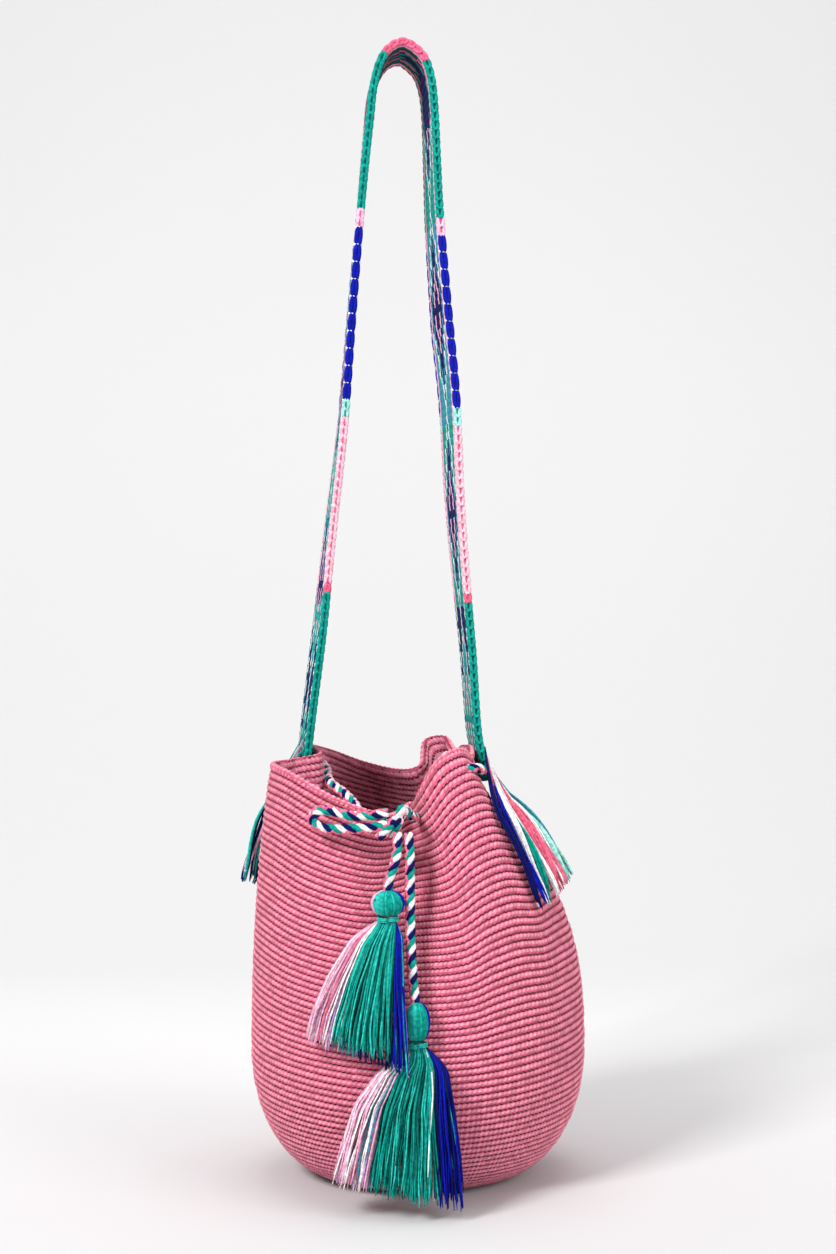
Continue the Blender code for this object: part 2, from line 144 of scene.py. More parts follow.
class Recipe:
    """The nodes of one material."""

    def __init__(self, name: str, roughness: float, sheen: float) -> None:
        """Start a material.

        Args:
            name: The material's name.
            roughness: Roughness all over.
            sheen: Weight of the soft edge gloss of loose fibres.
        """
        self.material = bpy.data.materials.new(name)
        self.material.use_nodes = True
        self.tree = self.material.node_tree
        self.shader = self.tree.nodes["Principled BSDF"]
        gloss = {"Roughness": roughness, "Sheen Weight": sheen, "Sheen Roughness": 0.5,
                 "Specular IOR Level": 0.10}
        for socket, value in gloss.items():
            self.feed(self.shader.inputs[socket], value)

    def node(self, kind: str, settings: dict[str, object] | None = None,
             inputs: dict[str | int, object] | None = None) -> bpy.types.Node:
        """Add a node, set its options first and then its inputs.

        Args:
            kind: The node's type.
            settings: Options by name.
            inputs: Values or signals by socket name or number.

        Returns:
            The new node.
        """
        node = self.tree.nodes.new(kind)
        for name, value in (settings or {}).items():
            setattr(node, name, value)
        for name, value in (inputs or {}).items():
            self.feed(node.inputs[name], value)
        return node

    def feed(self, socket: bpy.types.NodeSocket, value: object) -> None:
        """Link a signal to a socket, or set its value."""
        if isinstance(value, Signal):
            self.tree.links.new(value.socket, socket)
        else:
            socket.default_value = value

    def signal(self, node: bpy.types.Node, output: str | int = 0) -> Signal:
        """Return a node's output as a signal."""
        return Signal(self.tree, node.outputs[output])

    def blend(self, factor: Signal, first: "Signal | Colour", second: "Signal | Colour") -> Signal:
        """Return a mix of two colours."""
        node = self.node("ShaderNodeMix", {"data_type": "RGBA"}, {0: factor, 6: first, 7: second})
        return self.signal(node, 2)

    def stitches(self) -> tuple[Signal, Signal]:
        """Return the stitch number and the row number at a point of the cloth."""
        place = self.node("ShaderNodeUVMap", {"uv_map": STITCH_MAP})
        split = self.node("ShaderNodeSeparateXYZ", None, {0: self.signal(place)})
        return self.signal(split, 0), self.signal(split, 1)

    def mottle(self, scale: float, detail: float = 2.0) -> Signal:
        """Return noise from 0 to 1 that stays with the piece."""
        place = self.node("ShaderNodeTexCoord")
        noise = self.node("ShaderNodeTexNoise", None,
                          {"Vector": self.signal(place, "Object"), "Scale": scale, "Detail": detail})
        return self.signal(noise, 0)

    def chance(self, across: Signal, along: Signal) -> Signal:
        """Return one random number from 0 to 1 for each stitch."""
        cell = self.node("ShaderNodeCombineXYZ", None, {0: across.whole(), 1: along.whole()})
        return self.signal(self.node("ShaderNodeTexWhiteNoise", None, {"Vector": self.signal(cell)}), 0)

    def paint(self, colour: Signal) -> None:
        """Give the surface its colour."""
        self.feed(self.shader.inputs["Base Color"], colour)

    def emboss(self, height: Signal, depth: float) -> None:
        """Give the surface a bump of a depth in metres."""
        bump = self.node("ShaderNodeBump", None, {"Height": height, "Distance": depth, "Strength": 1.0})
        self.feed(self.shader.inputs["Normal"], self.signal(bump))


def shade(colour: Colour, factor: float) -> Colour:
    """Return a colour made lighter or darker."""
    return tuple(min(1.0, part * factor) for part in colour[:3]) + (1.0,)


class Dye(Enum):
    """Dyed colours of the yarns. BLUSH is also the painted highlight on the crochet rows, and the
    near-black one for the crochet is no dye but painted shade in its gaps and pits.
    """

    ROSE = (0.770, 0.140, 0.235, 1.0)
    # Pale pink yarn, also used as the painted highlight on the crochet rows.
    BLUSH = (0.960, 0.480, 0.580, 1.0)
    # Painted shade for the gaps and pits between crocheted rows, not a yarn dye.
    GAP_SHADE = (0.075, 0.004, 0.018, 1.0)
    CORAL = (0.740, 0.120, 0.220, 1.0)
    TEAL = (0.000, 0.290, 0.235, 1.0)
    DEEP_TEAL = (0.000, 0.085, 0.075, 1.0)
    AQUA = (0.020, 0.470, 0.400, 1.0)
    NAVY = (0.001, 0.003, 0.085, 1.0)
    BLUE = (0.001, 0.006, 0.320, 1.0)
    WHITE = (0.900, 0.870, 0.840, 1.0)
    PINK = (0.900, 0.450, 0.620, 1.0)
    MINT = (0.330, 0.680, 0.610, 1.0)
    STEEL = (0.040, 0.270, 0.360, 1.0)
    LILAC = (0.480, 0.280, 0.640, 1.0)


@dataclass(frozen=True)
class Yarn:
    """Plain dyed yarn with fine fibres."""

    dye: Dye
    roughness: float = 0.65
    sheen: float = 0.01
    tone_scale: float = 420.0
    fibre_scale: float = 1400.0
    fibre_depth: float = 0.00022
    unevenness: float = 0.22

    def material(self) -> Material:
        """Return the yarn's material, made once."""
        name = f"spun_{self.dye.name.lower()}"
        known = bpy.data.materials.get(name)
        if known:
            return known
        recipe = Recipe(name, self.roughness, self.sheen)
        light = shade(self.dye.value, 1 + self.unevenness)
        dark = shade(self.dye.value, 1 - 1.6 * self.unevenness)
        recipe.paint(recipe.blend(recipe.mottle(self.tone_scale, 3.0).step(0.3, 0.7), dark, light))
        recipe.emboss(recipe.mottle(self.fibre_scale, 2.0), self.fibre_depth)
        return recipe.material


@dataclass(frozen=True)
class CrochetCotton:
    """Rose cotton crocheted in rows, with painted shade in the gaps between the rows and a painted
    highlight on the upper part of each row, where the light from above falls.

    A gap's painted shade grows from gap_reach to gap_end away from the middle of its row, in rows.
    seam is how dark that painted shade is all along a row's groove, and a pit between two stitches
    adds more painted shade to it. One strength scales all of that painted shade, and tone makes the
    whole yarn lighter or darker; the inside's lighter tone is painted light.
    """

    name: str
    gap_reach: float = 0.30
    gap_shade_strength: float = 1.0
    tone: float = 1.0
    seam: float = 0.34
    gap_end: float = 0.46
    highlight_crest: float = 0.60
    ply_count: float = 3.0
    depth: float = 0.0007

    def material(self) -> Material:
        """Return the crocheted material."""
        recipe = Recipe(self.name, 0.85, 0.10)
        across, along = recipe.stitches()
        phase = along.fraction()
        slanted = across + phase * SLANT
        between = slanted.wave()
        off_ridge = (phase - 0.5).size()
        # The gap and pit masks below carry painted shade: along the groove between rows and in the pit
        # between two stitches.
        gap = off_ridge.step(self.gap_reach, self.gap_end)
        luck = recipe.chance(slanted, along + 0.5)
        pit = gap * between.step(0.15, 0.8) * (0.15 + 1.25 * luck)
        painted_gap_shade = (gap * self.seam + pit * 1.1) * self.gap_shade_strength
        tint = recipe.chance(slanted + 0.5, along)
        # Painted highlight on the upper part of each row, where the light from above falls, dimmer between
        # stitches.
        highlight_crest = (1.0 - (phase - self.highlight_crest).size().step(0.06, 0.30)) * (1.0 - between * 0.75)
        fibre = recipe.mottle(900.0, 3.0).step(0.25, 0.75)
        dark, light = (shade(Dye.ROSE.value, share * self.tone) for share in (0.72, 1.14))
        plain = recipe.blend(tint, dark, light)
        painted_highlight = highlight_crest * (0.50 + 0.6 * fibre) * (0.65 + 0.35 * tint)
        lit = recipe.blend(painted_highlight, plain, shade(Dye.BLUSH.value, 1.04 * self.tone))
        # Pale blush painted highlight on the rows, then near-black painted shade in the gaps and pits.
        recipe.paint(recipe.blend(painted_gap_shade.step(0.0, 0.85), lit, Dye.GAP_SHADE.value))
        ply = (across * self.ply_count + phase * 2.2).wave() * 0.5
        recipe.emboss(fibre * 0.4 + ply - painted_gap_shade, self.depth)
        return recipe.material


@dataclass(frozen=True)
class StrapYarn:
    """Thick chain-stitched yarn of the strap, with painted shade inside each chain loop and along the seams
    between its columns.
    """

    dye: Dye

    def material(self) -> Material:
        """Return the strap yarn's material, made once."""
        name = f"strap_{self.dye.name.lower()}"
        known = bpy.data.materials.get(name)
        if known:
            return known
        recipe = Recipe(name, 0.75, 0.02)
        across, along = recipe.stitches()
        side = (across.fraction() - 0.5).size()
        seam = side.step(0.36, 0.5)
        loop = (along + side * 0.8).wave()
        tone = recipe.mottle(600.0, 3.0).step(0.25, 0.75)
        cloth = recipe.blend(tone, shade(self.dye.value, 0.72), shade(self.dye.value, 1.22))
        # Painted shade: a much darker copy of the dye along the column seams and inside each chain loop.
        dark = seam * 0.75 + (1 - loop).step(0.75, 1.0) * 0.45
        recipe.paint(recipe.blend(dark.step(0.0, 1.15), cloth, shade(self.dye.value, 0.22)))
        recipe.emboss(loop * 0.6 - seam * 0.6 + recipe.mottle(1500.0, 2.0) * 0.35, 0.0005)
        return recipe.material


# ------------------------------------------------------------------ mesh making


def new_object(name: str, points: Array, corners: Array, maps: dict[str, Array],
               finishes: Finishes, tints: Array | None = None) -> Item:
    """Make an object of four-cornered faces.

    Args:
        name: The object's name.
        points: Points, one row each.
        corners: Four point numbers for each face.
        maps: Map name to two numbers for each face corner.
        finishes: Materials.
        tints: Material number of each face, or None for the first.

    Returns:
        The object, linked to the scene and shaded smooth.
    """
    mesh = bpy.data.meshes.new(name)
    mesh.vertices.add(len(points))
    mesh.vertices.foreach_set("co", np.ascontiguousarray(points, np.float32).ravel())
    mesh.loops.add(corners.size)
    mesh.loops.foreach_set("vertex_index", corners.ravel().astype(np.int32))
    mesh.polygons.add(len(corners))
    mesh.polygons.foreach_set("loop_start", np.arange(0, corners.size, 4, dtype=np.int32))
    mesh.update(calc_edges=True)
    for map_name, values in maps.items():
        layer = mesh.uv_layers.new(name=map_name)
        layer.uv.foreach_set("vector", np.ascontiguousarray(values, np.float32).ravel())
    for finish in finishes:
        mesh.materials.append(finish)
    if tints is not None:
        mesh.polygons.foreach_set("material_index", tints.ravel().astype(np.int32))
    mesh.shade_smooth()
    item = bpy.data.objects.new(name, mesh)
    bpy.context.scene.collection.objects.link(item)
    return item


def grid_object(name: str, points: Array, closed: bool, finishes: Finishes,
                stitches: Array | None = None, tints: Array | None = None) -> Item:
    """Make an object from rows and columns of points.

    Args:
        name: The object's name.
        points: Points as (rows, columns, 3).
        closed: Whether the last column joins the first.
        finishes: Materials.
        stitches: Stitch and row numbers as (rows, columns, 2), with one more column if closed.
        tints: Material numbers of the faces as (rows - 1, faces across).

    Returns:
        The object.
    """
    rows, columns = points.shape[:2]
    across = columns if closed else columns - 1
    row, column = np.meshgrid(np.arange(rows - 1), np.arange(across), indexing="ij")
    after = (column + 1) % columns
    corners = np.stack((row * columns + column, row * columns + after,
                        (row + 1) * columns + after, (row + 1) * columns + column), axis=-1)
    steps = np.stack((np.stack((row, column), -1), np.stack((row, column + 1), -1),
                      np.stack((row + 1, column + 1), -1), np.stack((row + 1, column), -1)), axis=-2)
    spread = np.array((rows - 1, across), dtype=float)
    maps = {BAKE_MAP: BAKE_EDGE + BAKE_SPAN * (steps / spread)[..., ::-1].reshape(-1, 2)}
    if stitches is not None:
        maps[STITCH_MAP] = stitches[steps[..., 0], steps[..., 1]].reshape(-1, 2)
    flat_tints = None if tints is None else tints.reshape(-1)
    return new_object(name, points.reshape(-1, 3), corners.reshape(-1, 4), maps, finishes, flat_tints)


def unit(vectors: Array, least: float = 0.0) -> Array:
    """Return vectors made one long; least is added to their lengths where one may be nothing."""
    return vectors / (np.linalg.norm(vectors, axis=-1, keepdims=True) + least)


def round_axis(angle: Array, radius: Array, height: Array) -> Array:
    """Return points round an upright axis, at angles from the front."""
    parts = np.broadcast_arrays(np.sin(angle) * radius, -np.cos(angle) * radius, height)
    return np.stack(parts, axis=-1)


def reach_of(points: Array) -> Array:
    """Return how far along a line of points each of them lies."""
    return np.concatenate(([0.0], np.cumsum(np.linalg.norm(np.diff(points, axis=0), axis=1))))


def at_reach(values: Array, reach: Array, where: Array) -> Array:
    """Return rows of values at distances along a line."""
    return np.stack([np.interp(where, reach, values[:, axis]) for axis in range(3)], axis=1)


def cubic(part: Array, span: Array, ends: tuple[Array, Array], slopes: tuple[Array, Array]) -> Array:
    """Return values between knots on a cubic curve.

    Args:
        part: Shares of the way from the knot before to the knot after.
        span: Distances between those knots.
        ends: Values at the two knots.
        slopes: Slopes at the two knots.

    Returns:
        The values.
    """
    near = (1 + 2 * part) * (1 - part) ** 2 * ends[0] + part * (1 - part) ** 2 * span * slopes[0]
    far = part ** 2 * (3 - 2 * part) * ends[1] + part ** 2 * (part - 1) * span * slopes[1]
    return near + far


def smooth_curve(points: Sequence[Sequence[float]], steps: int) -> Array:
    """Return evenly spaced points on a smooth open curve through the given ones."""
    points = np.array(points, dtype=float)
    knots = reach_of(points)
    slopes = np.empty_like(points)
    slopes[1:-1] = (points[2:] - points[:-2]) / (knots[2:] - knots[:-2])[:, None]
    slopes[0] = (points[1] - points[0]) / (knots[1] - knots[0])
    slopes[-1] = (points[-1] - points[-2]) / (knots[-1] - knots[-2])
    where = np.linspace(0, knots[-1], steps)
    here = np.clip(np.searchsorted(knots, where, side="right") - 1, 0, len(points) - 2)
    there = here + 1
    span = (knots[there] - knots[here])[:, None]
    part = (where - knots[here])[:, None] / span
    return cubic(part, span, (points[here], points[there]), (slopes[here], slopes[there]))


def evenly(points: Array, steps: int) -> Array:
    """Return points at equal distances along a line of points."""
    reach = reach_of(points)
    return at_reach(points, reach, np.linspace(0, reach[-1], steps))


def length_of(points: Array) -> float:
    """Return the length of a line of points."""
    return float(np.linalg.norm(np.diff(points, axis=0), axis=1).sum())


@dataclass
class Bundle:
    """Many round threads with the same number of points, joined in one mesh."""

    name: str
    radius: float
    reference: Place = (0.0, 1.0, 0.15)
    sides: int = 4
    end_taper: float = 0.55
    paths: list[Array] = field(default_factory=list)
    tints: list[int] = field(default_factory=list)
    widths: list[float] = field(default_factory=list)

    def add(self, path: Array, tint: int, width: float = 1.0) -> None:
        """Add a thread along a path, in a material by number."""
        self.paths.append(path)
        self.tints.append(tint)
        self.widths.append(width)

    def build(self, finishes: Finishes) -> Item:
        """Return the threads as one object."""
        paths = np.array(self.paths)
        count, steps = paths.shape[:2]
        along = unit(np.gradient(paths, axis=1), 1e-12)
        side = unit(np.cross(along, np.array(self.reference)), 1e-12)
        other = np.cross(along, side)
        angle = (np.arange(self.sides) + 0.5) * math.tau / self.sides
        girth = np.ones(steps)
        girth[0] = girth[-1] = self.end_taper
        girth = girth[None, :] * np.array(self.widths)[:, None] * self.radius
        ring = (side[:, :, None] * np.cos(angle)[:, None] + other[:, :, None] * np.sin(angle)[:, None])
        points = (paths[:, :, None] + ring * girth[:, :, None, None]).reshape(-1, 3)
        thread, step, turn = np.meshgrid(np.arange(count), np.arange(steps - 1),
                                         np.arange(self.sides), indexing="ij")
        first = (thread * steps + step) * self.sides
        after = (turn + 1) % self.sides
        corners = np.stack((first + turn, first + self.sides + turn,
                            first + self.sides + after, first + after), axis=-1).reshape(-1, 4)
        low = np.stack((thread + turn / self.sides, step + 0 * turn), -1)
        shifts = ((0, 0), (0, 1), (1 / self.sides, 1), (1 / self.sides, 0))
        spots = np.stack([low + np.array(shift) for shift in shifts], axis=-2).reshape(-1, 2)
        tints = np.repeat(np.array(self.tints), (steps - 1) * self.sides)
        if self.sides == 4:
            ends = np.arange(count)[:, None] * steps * 4
            start = ends + np.array((0, 1, 2, 3))
            finish = ends + (steps - 1) * 4 + np.array((3, 2, 1, 0))
            corners = np.concatenate((corners, start, finish))
            tip = np.repeat(np.stack((np.arange(count) + 0.5, np.zeros(count)), -1), 4, axis=0)
            spots = np.concatenate((spots, tip, tip + np.array((0, steps - 1))))
            tints = np.concatenate((tints, self.tints, self.tints))
        spots = BAKE_EDGE + BAKE_SPAN * spots / np.array((count, steps - 1))
        return new_object(self.name, points, corners, {BAKE_MAP: spots}, finishes, tints)


def finish_piece(item: Item, body: str, slot: str, *nodes: str) -> Item:
    """Let a piece ride on its body and hide the solids that it stands for."""
    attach(item, body)
    if nodes:
        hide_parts(*nodes)
    LOG.info("%s: %d faces", item.name, len(item.data.polygons))
    return item


# ------------------------------------------------------------------ the bag's wall


@dataclass
class Wall:
    """The bag's outer face, from the middle of the base to the gathered rim.

    turn goes from 0 to 1 clockwise seen from above, from the front crease. climb goes from
    0 at the belly to 1 at the rim, and row counts the crocheted rows from the base's middle.
    """

    base_radius: float = 60 * MM
    belly_radius: float = 118 * MM
    belly_height: float = 88 * MM
    thickness: float = 4.5 * MM
    row_height: float = 4.8 * MM
    rows: float = 80.0
    front_sag: float = 2.4
    sag_reach: float = 0.16
    rim: tuple[tuple[float, ...], ...] = (
        (-4, -28, 262, 0, 1.5), (-20, -62, 256, 0, 1.9), (-55, -76, 268, 0, 2.2),
        (-88, -68, 285, 0, 2.2), (-102, -45, 290, 0, 2.2), (-90, -23, 291, 14, 2.2),
        (-72, -12, 294, 54, 2.2), (-75, 16, 297, 44, 2.2), (-78, 44, 297, 44, 2.2),
        (-64, 66, 292, 14, 2.2), (-40, 72, 284, 0, 2.2), (-14, 66, 279, 0, 2.2),
        (0, 56, 282, 0, 2.0), (4, 76, 299, 0, 2.2), (22, 80, 302, 0, 2.2),
        (30, 60, 292, 8, 2.4), (34, 36, 297, 24, 2.7), (36.5, 7, 299, 24, 2.7),
        (39, -22, 300, 22, 2.6), (38, -42, 296, 9, 2.4), (28, -60, 301, 0, 2.2),
        (12, -66, 292, 0, 2.2), (0, -58, 272, 0, 1.9),
    )

    def __post_init__(self) -> None:
        """Work out where each rim point lies along the rim, and the length of the foot."""
        ring = np.array([row[:2] for row in self.rim], dtype=float)
        steps = np.linalg.norm(np.roll(ring, -1, axis=0) - ring, axis=1)
        self.knots = np.concatenate(([0.0], np.cumsum(steps)[:-1])) / steps.sum()
        self.rises = np.linspace(0, 1, 60)
        self.foot_reach = reach_of(self.foot(np.zeros(60), self.rises))

    def around_rim(self, turn: Array) -> Array:
        """Return rim x, y, z, upright length and lateness at each turn."""
        values = np.array(self.rim, dtype=float)
        turn = np.mod(turn, 1.0)
        following = np.roll(self.knots, -1)
        following[-1] = 1.0
        spans = following - self.knots
        reach = spans + np.roll(spans, 1)
        slopes = (np.roll(values, -1, axis=0) - np.roll(values, 1, axis=0)) / reach[:, None]
        here = np.clip(np.searchsorted(self.knots, turn, side="right") - 1, 0, len(values) - 1)
        there = (here + 1) % len(values)
        part = ((turn - self.knots[here]) / spans[here])[..., None]
        span = spans[here][..., None]
        return cubic(part, span, (values[here], values[there]), (slopes[here], slopes[there]))

    def point(self, turn: Array, climb: Array) -> Array:
        """Return points on the outer face above the belly."""
        turn, climb = np.broadcast_arrays(np.asarray(turn, float), np.asarray(climb, float))
        rim = self.around_rim(turn)
        height = rim[..., 2] * MM - self.belly_height
        upright = np.maximum(rim[..., 3], 0.0) * MM / height
        gather = np.zeros(turn.shape)
        blur = np.linspace(-0.05, 0.05, 5)
        for shift in blur:
            share = np.clip((climb + shift) / (1 - upright), 0.0, 1.0)
            gather += share ** rim[..., 4] / len(blur)
        over = (climb + blur[-1] - 1) / blur[-1]
        gather = np.where(over > 0, gather + (1 - gather) * over, gather)
        point = round_axis(-math.tau * turn, self.belly_radius, self.belly_height + height * climb)
        flat = point[..., :2]
        flat += (rim[..., :2] * MM - flat) * gather[..., None]
        return point

    def foot(self, turn: Array, rise: Array) -> Array:
        """Return points on the rounded foot, from the base at rise 0 to the belly at 1."""
        bend = np.asarray(rise) * math.pi / 2
        radius = self.base_radius + (self.belly_radius - self.base_radius) * np.sin(bend)
        height = self.belly_height * (1 - np.cos(bend))
        return round_axis(-math.tau * np.asarray(turn), radius, height)

    def normal(self, turn: Array, climb: Array) -> Array:
        """Return outward normals of the wall above the belly."""
        step = 0.002
        along = self.point(turn + step, climb) - self.point(turn - step, climb)
        up = self.point(turn, climb) - self.point(turn, np.asarray(climb) - step)
        return unit(np.cross(up, along))

    def climb_at(self, turn: Array, below_rim: float) -> Array:
        """Return the climb of points a distance below the rim."""
        return 1 - below_rim / (self.around_rim(turn)[..., 2] * MM - self.belly_height)

    def surface(self, turn: Array, row: Array) -> Array:
        """Return points of the outer face by turn and row number, from the base's middle."""
        turn, row = np.broadcast_arrays(turn, row)
        from_front = np.abs((turn + 0.5) % 1.0 - 0.5)
        sag = self.front_sag * np.exp(-(from_front / self.sag_reach) ** 2)
        belly = self.base_radius + self.foot_reach[-1]
        reach = self.row_height * row
        for _ in range(8):
            share = np.clip((reach - self.base_radius) / self.foot_reach[-1], 0, 1)
            reach = self.row_height * (row - sag * share * share * (3 - 2 * share))
        belly_row = belly / self.row_height + sag
        climb = np.clip((row - belly_row) / (self.rows - belly_row), 0, 1)
        rise = np.interp(reach - self.base_radius, self.foot_reach, self.rises)
        disc = round_axis(-math.tau * turn, reach, 0 * reach)
        low = np.where((reach < self.base_radius)[..., None], disc, self.foot(turn, rise))
        return np.where((row > belly_row)[..., None], self.point(turn, climb), low)


def grid_normals(points: Array) -> Array:
    """Return outward normals of rows of points that close on themselves."""
    along = np.roll(points, -1, axis=1) - np.roll(points, 1, axis=1)
    up = np.gradient(points, axis=0)
    return unit(np.cross(up, along), 1e-15)


@dataclass
class CrochetBody:
    """The crocheted base and wall."""

    wall: Wall
    stitches: int = 200
    ridge: float = 1.15 * MM
    bulge: float = 0.65 * MM
    pit: float = 1.4 * MM
    rim_radius: float = 2.3 * MM
    rim_drop: float = 1.2 * MM
    roundness: float = 2.6
    wander: float = 0.12 * MM
    base_rows: tuple[float, float] = (0.01, 26)
    band_starts: tuple[int, ...] = (26, 44, 62)
    band_rows: int = 18
    place: tuple[str, str, str] = (BAG, "rose_cotton", "bag_body")

    def relief(self, stitch: Array, row: Array, strength: float) -> Array:
        """Return how far the yarn stands out at a stitch and row number.

        Args:
            stitch: Stitch numbers.
            row: Row numbers.
            strength: Share of the full height.

        Returns:
            Heights in metres, from about 0 in the gaps to the ridge's height.
        """
        phase = row - np.floor(row)
        off_ridge = np.abs(2 * phase - 1)
        ridge = 1 - off_ridge ** self.roundness
        slanted = stitch + SLANT * phase
        lobe = 0.5 + 0.5 * np.cos(math.tau * slanted)
        course = np.floor(row + 0.5)
        luck = 0.5 + 0.5 * np.sin(course * SCATTER[0] + np.floor(stitch) * SCATTER[1])
        wander = np.sin(course * 2.1 + stitch * 0.05) * self.wander
        height = self.ridge * ridge * (0.86 + 0.14 * np.cos(course * 1.7 + stitch * 0.31))
        height += self.bulge * (lobe - 0.6) * ridge
        height -= self.pit * (1 - ridge) ** 2 * (1 - lobe) * (0.4 + 0.6 * luck)
        return (height + wander) * strength

    def rows_of(self, rows: Array, columns: int, strength: float) -> tuple[Array, Array, Array, Array]:
        """Return points, normals, yarn heights and stitch numbers of the outer face.

        Args:
            rows: Row numbers.
            columns: Points round each row.
            strength: Share of the yarn's full height.

        Returns:
            The four tables, the last with one more column.
        """
        turn = (np.arange(columns + 1) / columns)[None, :]
        points = self.wall.surface(turn[:, :-1], rows[:, None])
        stitch, row = np.broadcast_arrays(turn * self.stitches, rows[:, None])
        height = self.relief(stitch[:, :-1], row[:, :-1], strength)
        return points, grid_normals(points), height, np.stack((stitch, row), axis=-1)

    def shell(self, name: str, rows: tuple[float, float], columns: int, per_row: int,
              finish: Material) -> Item:
        """Make a band of the outer face.

        Args:
            name: The piece's name.
            rows: First and last row number.
            columns: Points round the band.
            per_row: Points across each row.
            finish: Its material.

        Returns:
            The band.
        """
        count = int(round((rows[1] - rows[0]) * per_row)) + 1
        points, normals, height, grid = self.rows_of(np.linspace(*rows, count), columns, 1.0)
        points = points + normals * (height - self.ridge)[..., None]
        return grid_object(name, points, True, [finish], grid)

    def lining(self, finish: Material) -> Item:
        """Make the inner face."""
        columns, per_row, first, strength = 240, 2, 0.02, 0.9
        count = int((self.wall.rows - first) * per_row) + 1
        rows = np.linspace(first, self.wall.rows, count)
        points, normals, height, grid = self.rows_of(rows, columns, strength)
        points = points - normals * (self.wall.thickness + height)[..., None]
        return grid_object("bag_lining_face", points[:, ::-1], True, [finish], grid[:, ::-1])

    def rim(self, finish: Material) -> Item:
        """Make the last row, a chain of stitches round the mouth."""
        columns, sides = 800, 10
        turn = np.arange(columns + 1) / columns
        edge = self.wall.point(turn[:-1], np.ones(columns))
        normal = self.wall.normal(turn[:-1], np.full(columns, 0.999))
        middle = edge - normal * self.wall.thickness * 0.5 - np.array((0, 0, self.rim_drop))
        along = unit(np.roll(middle, -1, axis=0) - np.roll(middle, 1, axis=0))
        over = np.cross(along, normal)
        over *= np.sign(over[:, 2:3])
        angle = np.arange(sides + 1) * math.tau / sides
        stitch = turn * self.stitches * 0.8
        chain = 0.5 - 0.5 * np.cos(math.tau * (stitch[:-1, None] + 0.2 * np.cos(angle[None, :-1])))
        radius = self.rim_radius * (0.82 + 0.24 * chain)
        round_it = angle[None, :-1, None]
        ring = normal[:, None] * np.cos(round_it) + over[:, None] * np.sin(round_it)
        points = middle[:, None] + ring * radius[..., None]
        points = np.concatenate((points, points[:1]))
        grid = np.stack(np.broadcast_arrays(stitch[:, None], angle[None, :] / math.tau * 2 + 0.25), axis=-1)
        return grid_object("bag_rim_row", points, True, [finish], grid)

    def build(self) -> None:
        """Make every band of the body."""
        outside = CrochetCotton("rose_crochet").material()
        # The inside copy has a lighter tone all over, painted light on the inner face that lies in shade,
        # with less painted shade along its grooves.
        inside = CrochetCotton("rose_crochet_inside_painted_lighter", 0.26, 1.15, 1.25, 0.16).material()
        edge = CrochetCotton("rose_crochet_edge", 0.40, 0.8).material()
        finish_piece(self.shell("bag_base_crochet", self.base_rows, 360, 4, outside), *self.place)
        for number, first in enumerate(self.band_starts, 1):
            rows = (first, first + self.band_rows)
            finish_piece(self.shell(f"bag_wall_crochet_{number}", rows, 700, 5, outside), *self.place)
        finish_piece(self.lining(inside), *self.place)
        finish_piece(self.rim(edge), *self.place)


# ------------------------------------------------------------------ strap


@dataclass(frozen=True)
class EdgeStitch:
    """One kind of stitch of the strap's edge.

    period is its length, overlap is how far its loop reaches each way in periods, and loop, core
    and waist are the radii of its yarns.
    """

    period: float
    half_width: float
    overlap: float
    loop: float
    core: float
    waist: float


CHAIN = EdgeStitch(6.2 * MM, 1.75 * MM, 0.60, 1.35 * MM, 2.5 * MM, 0.7 * MM)
BEAD = EdgeStitch(12.2 * MM, 1.35 * MM, 0.50, 1.75 * MM, 1.9 * MM, 0.9 * MM)


